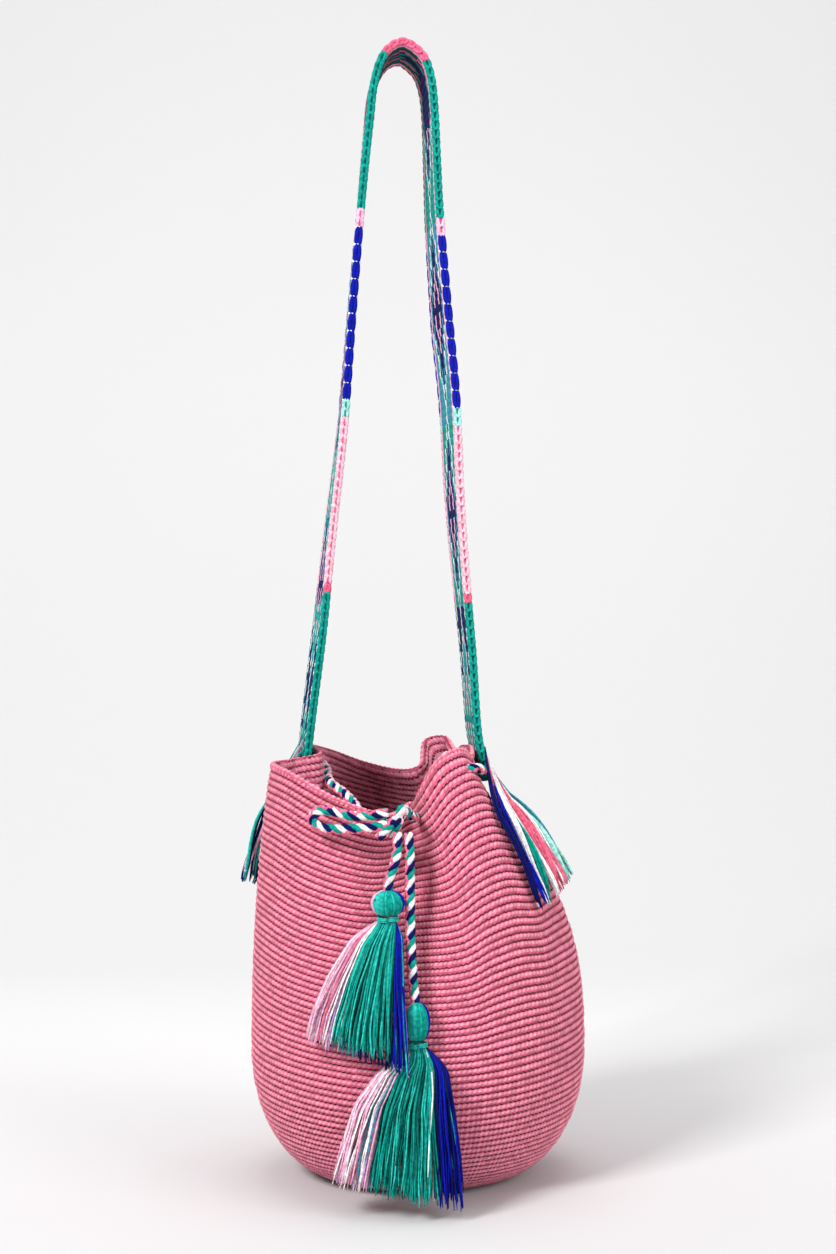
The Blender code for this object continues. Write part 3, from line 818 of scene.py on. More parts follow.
@dataclass
class Strap:
    """The woven strap: two faces of chain-stitched columns between two thick edge cords."""

    width: float = 62 * MM
    edge_inset: float = 4 * MM
    face_half: float = 2.1 * MM
    columns: int = 13
    stitch_length: float = 5.6 * MM
    chain_relief: float = 0.75 * MM
    seam_inset: float = 12 * MM
    front_y: tuple[float, float] = (-10 * MM, -20 * MM)
    turns: tuple[float, ...] = (7, 8, 6.2, 3.8, 2.6, 5, 7, 10, 8.4, 5.4, 4)
    route: tuple[tuple[float, float], ...] = (
        (-78, 266), (-78, 292), (-67, 382), (-61, 443), (-52, 526), (-46.5, 600), (-41, 669),
        (-37.5, 707), (-33.6, 743), (-31, 766), (-26, 783), (-19, 792), (-10, 795), (-2, 791),
        (5, 783), (9.5, 768), (11.7, 745), (12.8, 721), (15, 678), (20.5, 612), (26.6, 546),
        (30, 471), (34.6, 407), (38.2, 364), (41.8, 311), (45.4, 290), (46.6, 277),
    )
    # Blocks up the strap by height: the height each reaches, then the dyes of the loop, the core and the
    # waist. A core darker than its loop is painted shade seen through the loop's hole.
    edge_blocks: tuple[tuple[float, Dye, Dye, Dye], ...] = (
        (0.403, Dye.TEAL, Dye.DEEP_TEAL, Dye.TEAL), (0.412, Dye.CORAL, Dye.CORAL, Dye.WHITE),
        (0.528, Dye.BLUSH, Dye.CORAL, Dye.WHITE), (0.542, Dye.MINT, Dye.TEAL, Dye.WHITE),
        (0.662, Dye.BLUE, Dye.BLUE, Dye.WHITE), (0.675, Dye.PINK, Dye.CORAL, Dye.WHITE),
        (0.785, Dye.TEAL, Dye.DEEP_TEAL, Dye.TEAL), (1.0, Dye.CORAL, Dye.CORAL, Dye.PINK),
    )
    dyes: tuple[Dye, ...] = (Dye.TEAL, Dye.CORAL, Dye.BLUE, Dye.WHITE, Dye.NAVY, Dye.PINK, Dye.MINT,
                             Dye.DEEP_TEAL, Dye.STEEL, Dye.BLUSH)

    def frames(self, steps: int) -> tuple[Array, Array, Array, Array]:
        """Return the middle line, width, outward and lengthwise directions of the strap."""
        edge = smooth_curve(np.array(self.route) * MM, steps)
        share = np.linspace(0, 1, steps)
        front = self.front_y[0] + (self.front_y[1] - self.front_y[0]) * share
        angle = np.radians(np.interp(share, np.linspace(0, 1, len(self.turns)), self.turns))
        across = np.stack((-np.sin(angle), np.cos(angle), 0 * angle), axis=1)
        middle = np.stack((edge[:, 0], front, edge[:, 1]), axis=1)
        middle = middle + across * (self.width / 2 - self.edge_inset)
        along = unit(np.gradient(middle, axis=0))
        outside = unit(np.cross(along, across))
        return middle, np.cross(outside, along), outside, along

    def finishes(self) -> list[Material]:
        """Return the strap's materials in the order of its dyes."""
        return [StrapYarn(dye).material() for dye in self.dyes]

    def motif(self, column: Array, stitch: Array, height: Array) -> Array:
        """Return the dye number of each stitch: zigzags and diamonds in blocks of colour.

        Args:
            column: Column numbers from 0.
            stitch: Stitch numbers along the strap.
            height: Height of each stitch above the ground.

        Returns:
            Dye numbers.
        """
        pick = {dye: number for number, dye in enumerate(self.dyes)}
        middle = (self.columns - 1) / 2
        away = np.abs(column - middle)
        gap = away - np.abs((stitch / 13.0) % 2 - 1) * (middle + 0.5)
        low, high = height < 0.40, height > 0.74
        dark = (height > 0.53) & (height < 0.67)
        field_dye = np.where(low, pick[Dye.NAVY], np.where(dark, pick[Dye.STEEL], pick[Dye.TEAL]))
        field_dye = np.where(high, pick[Dye.DEEP_TEAL], field_dye)
        heart = np.where(low, pick[Dye.TEAL], pick[Dye.NAVY])
        dye = np.where(gap < 0, heart, field_dye)
        outline = np.where(high, pick[Dye.CORAL], np.where(stitch % 2 < 1, pick[Dye.WHITE], pick[Dye.MINT]))
        dye = np.where(np.abs(gap) < 0.5, outline, dye)
        dye = np.where(np.abs(gap + 1.5) < 0.5, np.where(high, pick[Dye.TEAL], pick[Dye.STEEL]), dye)
        dye = np.where((np.abs(gap + 4.0) < 0.5) & ~high, pick[Dye.PINK], dye)
        border = away > middle - 0.5
        scallop = np.where(stitch % 3 < 2, pick[Dye.WHITE], field_dye)
        return np.where(border, np.where(low, scallop, pick[Dye.PINK]), dye)

    def face(self, name: str, side: float) -> Item:
        """Make one face of the strap, side 1 outside and -1 inside."""
        length = length_of(smooth_curve(np.array(self.route) * MM, 400))
        stitches = int(length / self.stitch_length)
        per_stitch, per_column = 4, 3
        rows, across = stitches * per_stitch + 1, self.columns * per_column + 1
        middle, width, outside, _ = self.frames(rows)
        column = np.linspace(0, self.columns, across)[None, :]
        stitch = (np.arange(rows) / per_stitch)[:, None]
        phase = column - np.floor(np.minimum(column, self.columns - 1e-6))
        crown = np.sqrt(np.clip(np.sin(math.pi * phase), 0, 1))
        loop = np.abs(np.sin(math.pi * (stitch + 0.8 * np.abs(phase - 0.5))))
        height = self.face_half + self.chain_relief * crown * (0.45 + 0.55 * loop)
        inset = self.width / 2 - self.edge_inset * 1.2
        place = (column / self.columns * 2 - 1) * inset
        points = middle[:, None] + width[:, None] * place[..., None]
        points = points + outside[:, None] * (side * height)[..., None]
        cell_column = (np.arange(across - 1) // per_column)[None, :]
        cell_stitch = (np.arange(rows - 1) // per_stitch)[:, None]
        level = middle[:-1, 2][:, None] + 0 * cell_column
        tints = self.motif(cell_column + 0 * cell_stitch, cell_stitch + 0 * cell_column, level)
        grid = np.stack(np.broadcast_arrays(column, stitch), axis=-1)
        if side < 0:
            points, grid, tints = points[:, ::-1], grid[:, ::-1], tints[:, ::-1]
        return grid_object(name, points[:, ::-1], False, self.finishes(), grid[:, ::-1],
                           np.ascontiguousarray(tints[:, ::-1]))

    def edge(self, name: str, side: float) -> Item:
        """Make one thick edge of chain loops over a core, side -1 at the front and 1 at the back."""
        rows = 900
        middle, width, outside, _ = self.frames(rows)
        line = middle + width * side * (self.width / 2 - self.edge_inset)
        reach = reach_of(line)

        def along(values: Array, where: Array) -> Array:
            """Return rows of values at distances along the edge."""
            return at_reach(values, reach, where)

        bundle = Bundle(name, 1.0, reference=(0.25, 1.0, 0.2), sides=5, end_taper=1.0)
        turn = np.linspace(0, math.tau, 13)
        bend = np.linspace(-1, 1, 13)
        place = 0.0
        while place < reach[-1]:
            level = float(np.interp(place, reach, line[:, 2]))
            loop, core, waist = next(block[1:] for block in self.edge_blocks if level < block[0])
            kind = BEAD if loop is Dye.BLUE else CHAIN
            half = kind.period / 2
            centre = place + half
            place += kind.period
            where = centre + kind.overlap * kind.period * np.cos(turn)
            lift = side * (1.3 + 0.7 * np.cos(turn))[:, None] * MM
            swing = (kind.half_width * np.sin(turn))[:, None]
            path = along(line, where) + along(outside, where) * swing + along(width, where) * lift
            bundle.add(path, self.dyes.index(loop), kind.loop)
            # The core; where its dye is darker than the loop's, it is painted shade in the loop's hole.
            where = centre + half * bend
            path = along(line, where) - along(width, where) * side * 0.2 * MM
            bundle.add(path, self.dyes.index(core), kind.core)
            where = centre + half + 0.5 * MM * bend
            path = along(line, where) + along(outside, where) * (2.5 * MM * bend)[:, None]
            path = path + along(width, where) * side * (1.9 - 1.6 * bend ** 2)[:, None] * MM
            bundle.add(path, self.dyes.index(waist), kind.waist)
        return bundle.build([Yarn(dye).material() for dye in self.dyes])

    def seam(self, name: str, at_end: bool) -> Item:
        """Make the stitches that hold one end of the strap to the wall."""
        middle, width, outside, along = self.frames(400)
        reach = reach_of(middle)
        where = reach[-1] - self.seam_inset if at_end else self.seam_inset
        index = int(np.searchsorted(reach, where))
        thread = Bundle(name, 0.9 * MM, reference=(1.0, 0.2, 0.1))
        for place in np.linspace(-0.44, 0.44, 15):
            centre = middle[index] + width[index] * place * self.width
            bow = np.linspace(-1, 1, 9)
            lift = 3.2 * MM + 0.8 * MM * np.cos(bow * math.pi / 2)
            path = centre + along[index] * (bow * 3.4 * MM)[:, None] + outside[index] * lift[:, None]
            thread.add(path + width[index] * (bow * 1.2 * MM)[:, None], 0)
        return thread.build([Yarn(Dye.ROSE).material()])

    def build(self) -> None:
        """Make the faces, the edges and the seams."""
        pieces = [self.face("strap_face_outer", 1.0), self.face("strap_face_inner", -1.0),
                  self.edge("strap_edge_front", -1.0), self.edge("strap_edge_back", 1.0)]
        for piece in pieces:
            finish_piece(piece, BAG, "strap_weave", "strap")
        finish_piece(self.seam("strap_stitches_left", False), BAG, "rose_cotton", "strap_seam_left")
        finish_piece(self.seam("strap_stitches_right", True), BAG, "rose_cotton", "strap_seam_right")


# ------------------------------------------------------------------ drawstring


@dataclass
class Braid:
    """Round braid: three thick strands wound together under two thin ones that run straight.

    columns are the places of the straight strands, in turns round the cord, and repeat is how far
    a wound strand goes in one turn.
    """

    diameter: float = 6.8 * MM
    repeat: float = 15 * MM
    middle: float = 1.55 * MM
    thick: float = 1.85 * MM
    straight: float = 2.25 * MM
    weave: float = 0.45 * MM
    thin: float = 1.35 * MM
    columns: tuple[float, float] = (0.57, 0.16)
    dyes: tuple[Dye, ...] = (Dye.WHITE, Dye.NAVY, Dye.TEAL, Dye.ROSE, Dye.BLUSH)

    def build(self, name: str, path: Array, reference: Place = (0, 1, 0.1)
              ) -> Item:
        """Braid the strands along a path.

        Args:
            name: The piece's name.
            path: Points of the centre line.
            reference: A direction that the path never follows.

        Returns:
            The cord.
        """
        length = length_of(path)
        steps = max(14, int(length / (1.1 * MM)))
        line = evenly(path, steps)
        along = unit(np.gradient(line, axis=0))
        side = unit(np.cross(along, np.array(reference, dtype=float)))
        other = np.cross(side, along)

        def off(angle: Array, reach: Array | float) -> Array:
            """Return points round the centre line."""
            return line + (side * np.cos(angle)[:, None] + other * np.sin(angle)[:, None]) * reach

        beat = math.tau * np.linspace(0, length, steps) / self.repeat
        bundle = Bundle(name, 1.0, reference=(0.31, 0.83, 0.46), sides=6, end_taper=0.6)
        for number in range(3):
            bundle.add(off(math.tau * number / 3 - beat, self.middle), number, self.thick)
        for number, column in enumerate(self.columns):
            angle = math.tau * column + 0.35 * np.sin(1.5 * beat + number)
            reach = (self.straight + self.weave * np.cos(3 * beat + number))[:, None]
            bundle.add(off(angle, reach), 3 + number, self.thin)
        return bundle.build([Yarn(dye).material() for dye in self.dyes])


@dataclass(frozen=True)
class Run:
    """A run of the cord through points in mm, drawn in steps, and a direction it never follows."""

    points: tuple[Place, ...]
    steps: int
    start: Place = (0.0, 0.0, 0.0)
    reference: Place = (0, 1, 0.1)

    def route(self) -> Array:
        """Return the run's centre line."""
        return smooth_curve(np.array(self.start) + np.array(self.points) * MM, self.steps)


KNOT = (-12 * MM, -86 * MM, 257 * MM)
BOW, TURN, SHORT_END = "drawstring_bow_braid", "drawstring_knot_turn", "drawstring_short_end"
RUNS = {
    BOW: Run((
        (-20, -90, 260), (-32, -92, 258), (-45, -93, 258), (-58, -91, 261), (-66, -89, 261),
        (-71, -88, 256), (-67, -89, 251), (-56, -91, 249), (-44, -93, 249.5), (-32, -93, 250),
        (-20, -91, 252.5),
    ), 80, reference=(0, 1, 0.05)),
    "drawstring_tail_upper_braid": Run((
        (-13.5, -92, 246.5), (-13.6, -96.5, 237), (-15.5, -101, 227), (-19, -103, 217),
        (-19.8, -103.5, 206),
    ), 40),
    "drawstring_tail_lower_braid": Run((
        (-6.4, -90.5, 246), (-5.5, -94, 237), (-5.2, -97, 215), (-5, -101, 190),
        (-4.2, -108, 168), (-3, -116, 150), (-1.2, -121, 137),
    ), 80),
    TURN: Run((
        (6, 2, 1), (3.5, -4.5, 4.5), (1.2, -7.2, 5.5), (-0.5, -7.8, 0), (-2.2, -6.5, -5.5),
        (-4.5, -2, -6.5), (-5.5, 3, -3),
    ), 30, KNOT, (1, 0, 0.2)),
    SHORT_END: Run(((2, -3, 2), (-3, -6, -2), (-9, -6.5, -8), (-14.5, -5.5, -14)), 20, KNOT),
}


@dataclass
class Drawstring:
    """The drawstring, its knot, its bow and its two tails."""

    wall: Wall
    braid: Braid = field(default_factory=Braid)
    drop: float = 13 * MM
    outside: float = 4.2 * MM
    ends: tuple[float, float] = (0.040, 0.988)
    eyelets: tuple[float, ...] = (0.062, 0.430, 0.585, 0.845, 0.892, 0.974)
    spread: float = 0.012
    crossing_turns: tuple[float, float] = (0.085, 0.400)
    crossing: tuple[Place, ...] = (
        (-36, -62, 250), (-43, -50, 261), (-52, -36, 269), (-60, -20, 273), (-64, 0, 277),
        (-65, 20, 281),
    )

    def mouth_route(self) -> Array:
        """Return the route through the eyelets, from the knot and back to it."""
        inside = -(self.wall.thickness + self.outside)
        turns, sides = [self.ends[0]], [self.outside]
        outside_now = True
        for eyelet in self.eyelets:
            pair = (self.outside, inside) if outside_now else (inside, self.outside)
            turns += [eyelet - self.spread, eyelet + self.spread]
            sides += pair
            outside_now = not outside_now
        turns.append(self.ends[1])
        sides.append(self.outside)
        turn = np.linspace(*self.ends, 160)
        climb = self.wall.climb_at(turn, self.drop)
        points = self.wall.point(turn, climb)
        points = points + self.wall.normal(turn, climb) * np.interp(turn, turns, sides)[:, None]
        knot = np.array(KNOT)
        crossing = smooth_curve(np.array(self.crossing) * MM, 40)
        first, last = self.crossing_turns
        points = np.concatenate((points[turn < first], crossing, points[turn > last]))
        left = [knot + np.array((-9.5, 5, -2)) * MM, knot + np.array((-12, 9, -6)) * MM]
        right = [knot + np.array((10, 16, -3)) * MM, knot + np.array((6.5, 8, 0)) * MM]
        points = np.concatenate((left, points[1:-1], right))
        for _ in range(3):
            points[1:-1] = (points[:-2] + 2 * points[1:-1] + points[2:]) / 4
        return smooth_curve(points, 84)

    def run(self, name: str) -> Item:
        """Braid one of the runs about the knot."""
        run = RUNS[name]
        return self.braid.build(name, run.route(), run.reference)

    def build(self, upper: Sequence[Item], lower: Sequence[Item]) -> None:
        """Make every run of the cord.

        Args:
            upper: The upper tassel's pieces, which hang on the short tail.
            lower: The lower tassel's pieces, which hang on the long tail.
        """
        mouth = self.braid.build("drawstring_braid", self.mouth_route(), (0.02, 0.03, 1))
        finish_piece(mouth, BAG, "braid", "drawstring")
        for name in (TURN, SHORT_END):
            finish_piece(self.run(name), BAG, "braid", "drawstring_knot")
        loop = RUNS[BOW].route()
        bow = finish_piece(self.run(BOW), BAG, "braid", "drawstring_bow")
        tuple(loop[0])
        length_of(loop)
        self.tail("drawstring_tail_upper", UPPER_TAIL, upper)
        self.tail("drawstring_tail_lower", LOWER_TAIL, lower)

    def tail(self, node: str, body: str, tassel: Sequence[Item]) -> None:
        """Make the braided cord of one tail."""
        cord = finish_piece(self.run(f"{node}_braid"), body, "braid", node)
        route = RUNS[f"{node}_braid"].route()
        tuple(route[0])
        length_of(route)
        list(tassel)


# ------------------------------------------------------------------ tassels


# The dyes of each colour group of a skirt, and how often each occurs. Those at 0 are for the
# stray threads behind the teal group only.
PALETTES: dict[str, tuple[list[Dye], list[float]]] = {
    "pink": ([Dye.PINK, Dye.WHITE, Dye.ROSE, Dye.STEEL, Dye.LILAC], [0.70, 0.17, 0.03, 0.07, 0.03]),
    "teal": ([Dye.TEAL, Dye.AQUA, Dye.DEEP_TEAL, Dye.WHITE, Dye.STEEL, Dye.NAVY, Dye.CORAL],
             [0.56, 0.28, 0.12, 0.03, 0.01, 0.0, 0.0]),
    "blue": ([Dye.BLUE, Dye.NAVY, Dye.AQUA, Dye.LILAC], [0.62, 0.29, 0.07, 0.02]),
}


@dataclass
class Tassel:
    """A tassel: a head of laid threads, a binding, and a skirt in three colour groups."""

    name: str
    body: str
    top: Place
    radius: float
    height: float
    neck: float
    levels: tuple[tuple[float, ...], ...]
    splits: dict[str, tuple[float, float]]
    threads: int
    seed: int
    under: float = 0.0
    thread_radius: float = 0.66 * MM
    steps: int = 15
    fullness: float = 0.85

    def level(self, share: Array) -> Array:
        """Return the skirt's outline numbers at shares of its length."""
        table = np.array(self.levels, dtype=float)
        knots = np.linspace(0, 1, len(table))
        return np.stack([np.interp(share, knots, table[:, column]) for column in range(7)], axis=-1)

    def thread(self, chance: np.random.Generator, across: float, depth: float, drop: float) -> Array:
        """Return one skirt thread.

        Args:
            chance: Source of its waviness.
            across: Share of the skirt's width at the bottom.
            depth: Place from back, -1, to front, 1.
            drop: Share of the full length.

        Returns:
            Points from the neck to the tip.
        """
        share = np.linspace(0, 1, self.steps) * drop
        left_x, right_x, left_z, right_z, left_reach, right_reach, half = self.level(share).T
        waves = chance.normal(0, 1, 4)
        phase = chance.uniform(0, math.tau, 4)
        sway = waves[0] * np.sin(share * 4.5 + phase[0]) + 0.45 * waves[1] * np.sin(share * 11 + phase[1])
        lean = waves[2] * np.sin(share * 5.5 + phase[2]) + 0.4 * waves[3] * np.sin(share * 12 + phase[3])
        ease = np.clip(share * 3, 0, 1)
        place = np.clip(across + sway * 0.016 * ease, 0.0, 1.0)
        x = left_x + (right_x - left_x) * place
        z = left_z + (right_z - left_z) * place
        reach = left_reach + (right_reach - left_reach) * place
        reach = reach + half * np.clip(depth + lean * 0.12 * ease, -1.05, 1.05) * (0.25 + 0.75 * ease)
        y = -np.sqrt(np.maximum(reach ** 2 - x ** 2, 1.0))
        path = np.stack((x, y, z), axis=-1) * MM
        start = np.array(self.top) - np.array((0, 0, self.height + 1.5 * MM))
        angle = math.pi * (across - 0.5) * 1.5
        root = start + np.array((math.sin(angle), -math.cos(angle) * (0.4 + 0.6 * (depth > -0.2)), 0)) \
            * (self.neck * 0.9)
        pull = np.clip(1 - share / 0.16, 0, 1)[:, None] ** 1.5
        return path * (1 - pull) + (root + (path - path[0]) * np.array((0.8, 0.5, 1))) * pull

    def skirt(self) -> list[Item]:
        """Make the skirt's three groups of threads."""
        chance = np.random.default_rng(self.seed)
        made = []
        for group, (start, stop) in self.splits.items():
            dyes, odds = PALETTES[group]
            bundle = Bundle(f"{self.name}_{group}_threads", self.thread_radius)
            for _ in range(int(self.threads * (stop - start))):
                depth = chance.uniform(-1, 1)
                across = chance.uniform(start, stop)
                drop = chance.uniform(0.92, 1.0) if chance.random() < 0.85 else chance.uniform(0.82, 0.92)
                tint = chance.choice(len(dyes), p=odds)
                # Teal threads at the back of the skirt turn deep teal more often: painted shade inside the
                # skirt.
                if group == "teal" and depth < -0.3:
                    tint = 2 if chance.random() < 0.4 else tint
                    if chance.random() < self.under and chance.random() < 0.6:
                        tint = 4 if across < 0.5 else int(chance.choice((5, 5, 6)))
                        drop = chance.uniform(0.97, 1.0)
                elif group == "teal":
                    drop *= 1 - 0.07 * self.under
                width = chance.uniform(0.85, 1.15)
                bundle.add(self.thread(chance, across, depth, drop), int(tint), width)
            finishes = [Yarn(dye).material() for dye in dyes]
            made.append(finish_piece(bundle.build(finishes), self.body, f"{group}_yarn",
                                     f"{self.name}_skirt_{group}"))
        return made

    def head(self) -> Item:
        """Make the head: threads laid side by side from the cord over to the neck."""
        count = 72
        chance = np.random.default_rng(self.seed + 1)
        bundle = Bundle(f"{self.name}_head_threads", math.tau * self.radius / count * 0.62,
                        reference=(0.3, 0.2, 1.0))
        dyes = [Dye.AQUA, Dye.TEAL, Dye.PINK, Dye.BLUE]
        rise = np.linspace(0.04, 0.86, 16) * math.pi
        shape = np.sin(rise) ** self.fullness
        lean = np.linspace(0, 0.12, 16)
        for number in range(count):
            angle = math.tau * number / count
            facing = math.degrees((angle + math.pi) % math.tau - math.pi)
            # Threads on the left half, towards the key light, are aqua and the rest teal: a painted
            # highlight. The pink and blue sectors are the yarns' own colours.
            tint = 0 if facing < chance.uniform(-30, 30) else 1
            tint = 3 if 58 < facing < 130 else tint
            tint = 2 if -118 < facing < -66 else tint
            swell = 1 + chance.uniform(-0.02, 0.02)
            radius = np.maximum(self.radius * 0.94 * swell * shape, self.neck * 0.5 * (rise > 2))
            path = round_axis(angle + lean, radius, self.height / 2 * (np.cos(rise) - 1))
            bundle.add(np.array(self.top) + path, tint)
        return bundle.build([Yarn(dye).material() for dye in dyes])

    def core(self) -> Item:
        """Make the closed body under the head's threads."""
        rows, columns = 14, 24
        rise = np.linspace(0.02, 0.9, rows) * math.pi
        angle = np.arange(columns) * math.tau / columns
        radius = self.radius * 0.9 * np.sin(rise) ** self.fullness
        drop = self.height / 2 * (np.cos(rise) - 1)
        points = round_axis(angle[None], radius[:, None], drop[:, None])
        points = points[:, ::-1] + np.array(self.top)
        return grid_object(f"{self.name}_head_core", points, True, [Yarn(Dye.DEEP_TEAL).material()])

    def binding(self) -> Item:
        """Make the yarn wound round the neck."""
        bundle = Bundle(f"{self.name}_binding_thread", 0.6 * MM, reference=(0.0, 0.0, 1.0))
        base = np.array(self.top) - np.array((0, 0, self.height + 0.2 * MM))
        for turn in range(3):
            angle = np.linspace(0, math.tau, 28)
            drop = -turn * 1.05 * MM - angle / math.tau * 0.9 * MM
            bundle.add(base + round_axis(angle, self.neck + 1.4 * MM, drop), 0)
        return bundle.build([Yarn(Dye.AQUA).material()])

    def build(self) -> list[Item]:
        """Make the whole tassel and return its pieces."""
        pieces = [finish_piece(self.head(), self.body, "aqua_yarn", f"{self.name}_head"),
                  finish_piece(self.core(), self.body, "aqua_yarn", f"{self.name}_head"),
                  finish_piece(self.binding(), self.body, "teal_yarn", f"{self.name}_binding")]
        return pieces + self.skirt()


UPPER = Tassel(
    "tassel_upper", UPPER_TAIL, (-20 * MM, -104 * MM, 209.4 * MM), 11.4 * MM, 17 * MM, 5.5 * MM,
    ((-32, -10.5, 187.5, 187.5, 106, 106, 6), (-45, -10, 176, 174, 113, 112, 8),
     (-59, -9, 154, 145, 122.5, 127, 8), (-69.5, -7.5, 131, 118, 126.5, 137.5, 8),
     (-75, -6, 110, 93, 129, 144, 8)),
    {"pink": (0.0, 0.24), "teal": (0.24, 0.86), "blue": (0.86, 1.0)}, 400, 11, 1.0)
LOWER = Tassel(
    "tassel_lower", LOWER_TAIL, (-0.5 * MM, -122 * MM, 138.4 * MM), 8.6 * MM, 26 * MM, 5 * MM,
    ((-5, 12.5, 106, 106, 125, 125, 5.5), (-25, 20, 94, 93, 126, 126.5, 5),
     (-41, 24, 72, 68, 130, 130, 8), (-50, 28, 45, 37, 132, 132, 10),
     (-57, 30.5, 19, 5, 134, 134, 11)),
    {"pink": (0.0, 0.26), "teal": (0.26, 0.80), "blue": (0.80, 1.0)}, 450, 23)


# ------------------------------------------------------------------ fringes


@dataclass
class Fringe:
    """Loose yarn ends below a strap seam, lying over the wall."""

    name: str
    at_end: bool
    top_turns: tuple[float, float]
    low_turns: tuple[float, float]
    top: float
    low: float
    flare: float
    spill: float
    mix: float
    clumps: tuple[Dye, ...]
    seed: int
    count: int = 130

    def root(self, strap_width: float, lines: tuple[Array, Array, Array, Array], share: float,
             chance: np.random.Generator) -> Array:
        """Return where a thread leaves the strap.

        Args:
            strap_width: Width of the strap.
            lines: The strap's middle line and its directions.
            share: Place across the strap, from 0 to 1.
            chance: Source of its place along the strap.

        Returns:
            The thread's first point.
        """
        middle, width, outside, _ = lines
        back = int(chance.integers(3)) + int(4 * (1 - share))
        index = len(middle) - 3 - back if self.at_end else 2 + back
        place = (0.5 - share) if self.at_end else (share - 0.5)
        return middle[index] + width[index] * place * 0.8 * strap_width + outside[index] * 3.6 * MM

    def build(self, wall: Wall, strap: Strap) -> None:
        """Make the fringe's threads, from the strap down over the wall."""
        lines = strap.frames(200)
        chance = np.random.default_rng(self.seed)
        dyes = list(dict.fromkeys(self.clumps))
        bundle = Bundle(f"{self.name}_threads", 0.95 * MM, reference=(0.1, 1.0, 0.2))
        for _ in range(self.count):
            clump = int(chance.integers(len(self.clumps)))
            across = float(np.clip((clump + 0.5 + chance.normal(0, 0.22)) / len(self.clumps), 0, 1))
            drop = (0.86 + 0.14 * chance.random()) * (1 - 0.16 * (1 - across))
            share = np.linspace(0, 1, 15) * drop
            spread = across + (0.04 * np.sin(share * 6 + clump * 1.7) + chance.normal(0, 0.012)) * share
            first = self.top_turns[0] + (self.low_turns[0] - self.top_turns[0]) * share
            last = self.top_turns[1] + (self.low_turns[1] - self.top_turns[1]) * share
            turn = first + (last - first) * np.clip(spread, 0, 1)
            height = wall.around_rim(turn)[:, 2] * MM - wall.belly_height
            climb = (self.top + (self.low - self.top) * share - wall.belly_height) / height
            lift = 1.8 * MM + 4.0 * MM * chance.random() + self.flare * share
            lift = lift + self.spill * (1 - across) * np.sin(np.clip(share * 1.9, 0, 1) * math.pi / 2)
            lift = lift + 1.3 * MM * np.sin(share * 7 + clump * 2.1)
            path = wall.point(turn, climb) + wall.normal(turn, climb) * lift[:, None]
            root = self.root(strap.width, lines, across, chance)
            pull = np.clip(1 - share / 0.18, 0, 1)[:, None] ** 1.4
            path = path * (1 - pull) + (root + (path - path[0]) * 0.35) * pull
            other = self.clumps[int(chance.integers(len(self.clumps)))]
            tint = other if chance.random() < self.mix else self.clumps[clump]
            bundle.add(path, dyes.index(tint), chance.uniform(0.8, 1.15))
        finish_piece(bundle.build([Yarn(dye).material() for dye in dyes]), BAG, "teal_yarn", self.name)


FRINGES = (
    Fringe("fringe_left", False, (0.258, 0.308), (0.238, 0.325), 263 * MM, 192 * MM, 5 * MM, 3 * MM, 0.8,
           (Dye.TEAL, Dye.PINK, Dye.TEAL, Dye.NAVY, Dye.WHITE, Dye.AQUA, Dye.MINT, Dye.NAVY), 5, 76),
    Fringe("fringe_right", True, (0.790, 0.886), (0.785, 0.864), 272 * MM, 190 * MM, 1 * MM, 12 * MM, 0.10,
           (Dye.STEEL, Dye.MINT, Dye.MINT, Dye.WHITE, Dye.ROSE, Dye.ROSE, Dye.ROSE, Dye.WHITE, Dye.TEAL,
            Dye.WHITE, Dye.BLUE, Dye.NAVY), 7),
)


# ------------------------------------------------------------------ studio


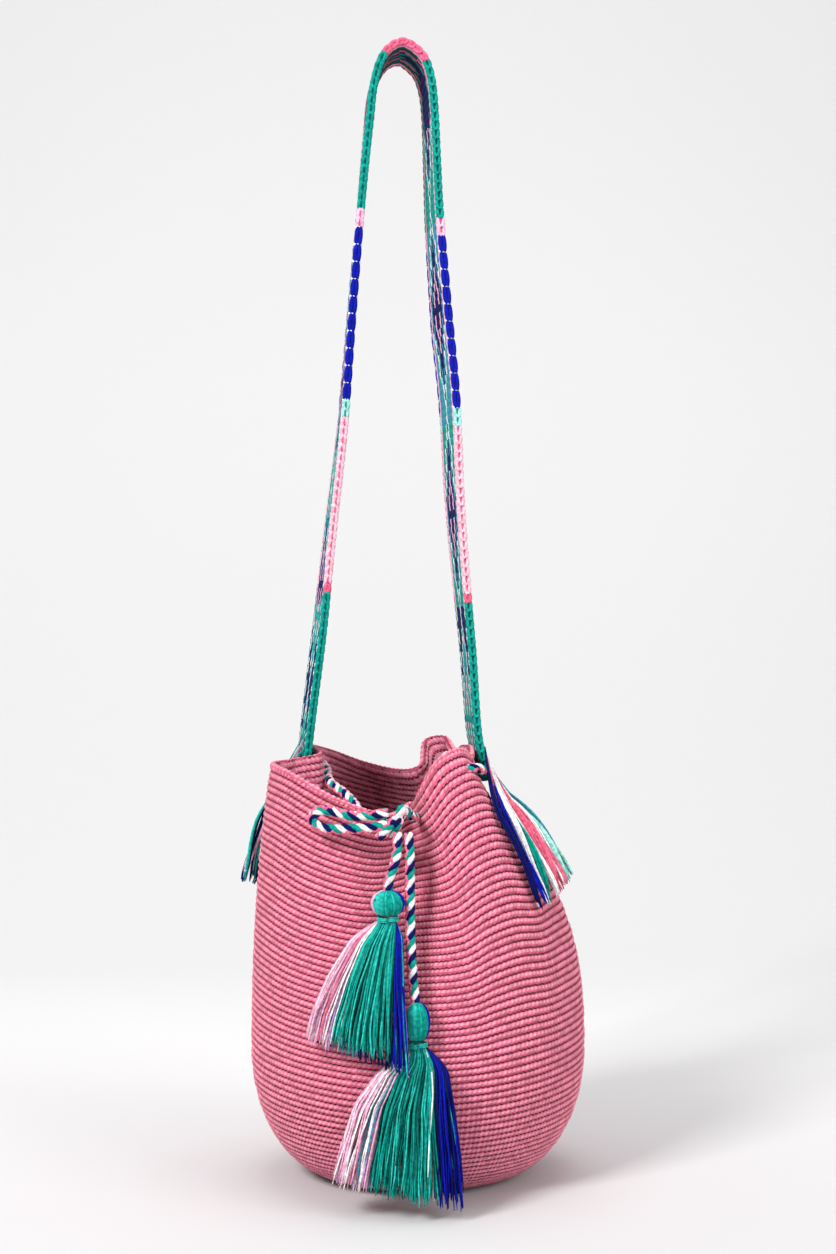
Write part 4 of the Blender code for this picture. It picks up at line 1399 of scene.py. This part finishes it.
@dataclass
class Studio:
    """Pale sweep, soft lights and the camera."""

    eye: Place = (0.0, -1.55, 0.384)
    lens: float = 62.67
    sensor: float = 36.0
    paper: Colour = (0.80, 0.79, 0.79, 1.0)
    air: Colour = (0.97, 0.98, 1.0, 1.0)
    air_strength: float = 0.58
    aim: Place = (0.0, 0.0, 0.25)
    lamps: tuple[tuple[str, Place, float, float], ...] = (
        ("key_light", (-1.4, -1.8, 1.9), 0.8, 74.0), ("fill_light", (1.9, -1.5, 1.2), 1.4, 27.0),
        ("top_light", (0.1, 0.2, 2.6), 1.6, 22.0),
    )

    def sweep(self) -> None:
        """Make the paper sweep that the bag stands on."""
        bend = np.linspace(0, math.pi / 2, 24)
        radius, back, under = 1.6, 0.9, 0.0008
        profile = [(-4.0, -under)]
        profile += [(back + radius * math.sin(a), radius * (1 - math.cos(a)) - under) for a in bend]
        line = np.array(profile + [(back + radius, 5.0)])
        sides = np.linspace(4.5, -4.5, 3)
        points = np.stack([np.stack((np.full(len(line), x), line[:, 0], line[:, 1]), -1) for x in sides], 1)
        recipe = Recipe("studio_paper_painted_shade", 0.95, 0.0)
        place = recipe.node("ShaderNodeTexCoord")
        split = recipe.node("ShaderNodeSeparateXYZ", None, {0: recipe.signal(place, "Object")})
        # The paper is painted darker near the front and lighter far back and up the backdrop: painted shade
        # that evens out the lamps' light on it.
        near, far, high = (shade(self.paper, share) for share in (0.72, 0.90, 0.965))
        floor = recipe.blend(recipe.signal(split, 1).step(-0.35, 0.6), near, far)
        recipe.paint(recipe.blend(recipe.signal(split, 2).step(0.05, 0.9), floor, high))
        grid_object("studio_sweep", points, False, [recipe.material])

    def light(self, name: str, spot: Place, size: float, power: float) -> None:
        """Add a soft square light that faces the bag."""
        lamp = bpy.data.lights.new(name, "AREA")
        lamp.size = size
        lamp.energy = power
        item = bpy.data.objects.new(name, lamp)
        bpy.context.scene.collection.objects.link(item)
        item.location = spot
        aim = np.array(self.aim) - np.array(spot)
        flat = math.hypot(aim[0], aim[1])
        item.rotation_euler = (math.atan2(flat, -aim[2]), 0.0, math.atan2(-aim[0], aim[1]))

    def build(self) -> None:
        """Make the sweep, the lights, the world and the camera."""
        self.sweep()
        for lamp in self.lamps:
            self.light(*lamp)
        scene = bpy.context.scene
        world = bpy.data.worlds.new("studio_air")
        world.use_nodes = True
        background = world.node_tree.nodes["Background"]
        background.inputs["Color"].default_value = self.air
        background.inputs["Strength"].default_value = self.air_strength
        scene.world = world
        scene.view_settings.view_transform = "Standard"
        camera = bpy.data.cameras.new("camera")
        camera.sensor_fit = "VERTICAL"
        camera.sensor_height = self.sensor
        camera.lens = self.lens
        item = bpy.data.objects.new("camera", camera)
        scene.collection.objects.link(item)
        item.location = self.eye
        item.rotation_euler = (math.pi / 2, 0.0, 0.0)
        scene.camera = item


def main() -> None:
    """Build the bag from its body outwards, then the studio."""
    logging.basicConfig(level=logging.INFO, format="%(name)s: %(message)s")
    Studio().build()
    wall = Wall()
    CrochetBody(wall).build()
    strap = Strap()
    strap.build()
    upper, lower = UPPER.build(), LOWER.build()
    Drawstring(wall).build(upper, lower)
    for fringe in FRINGES:
        fringe.build(wall, strap)


if __name__ == "__main__":
    main()
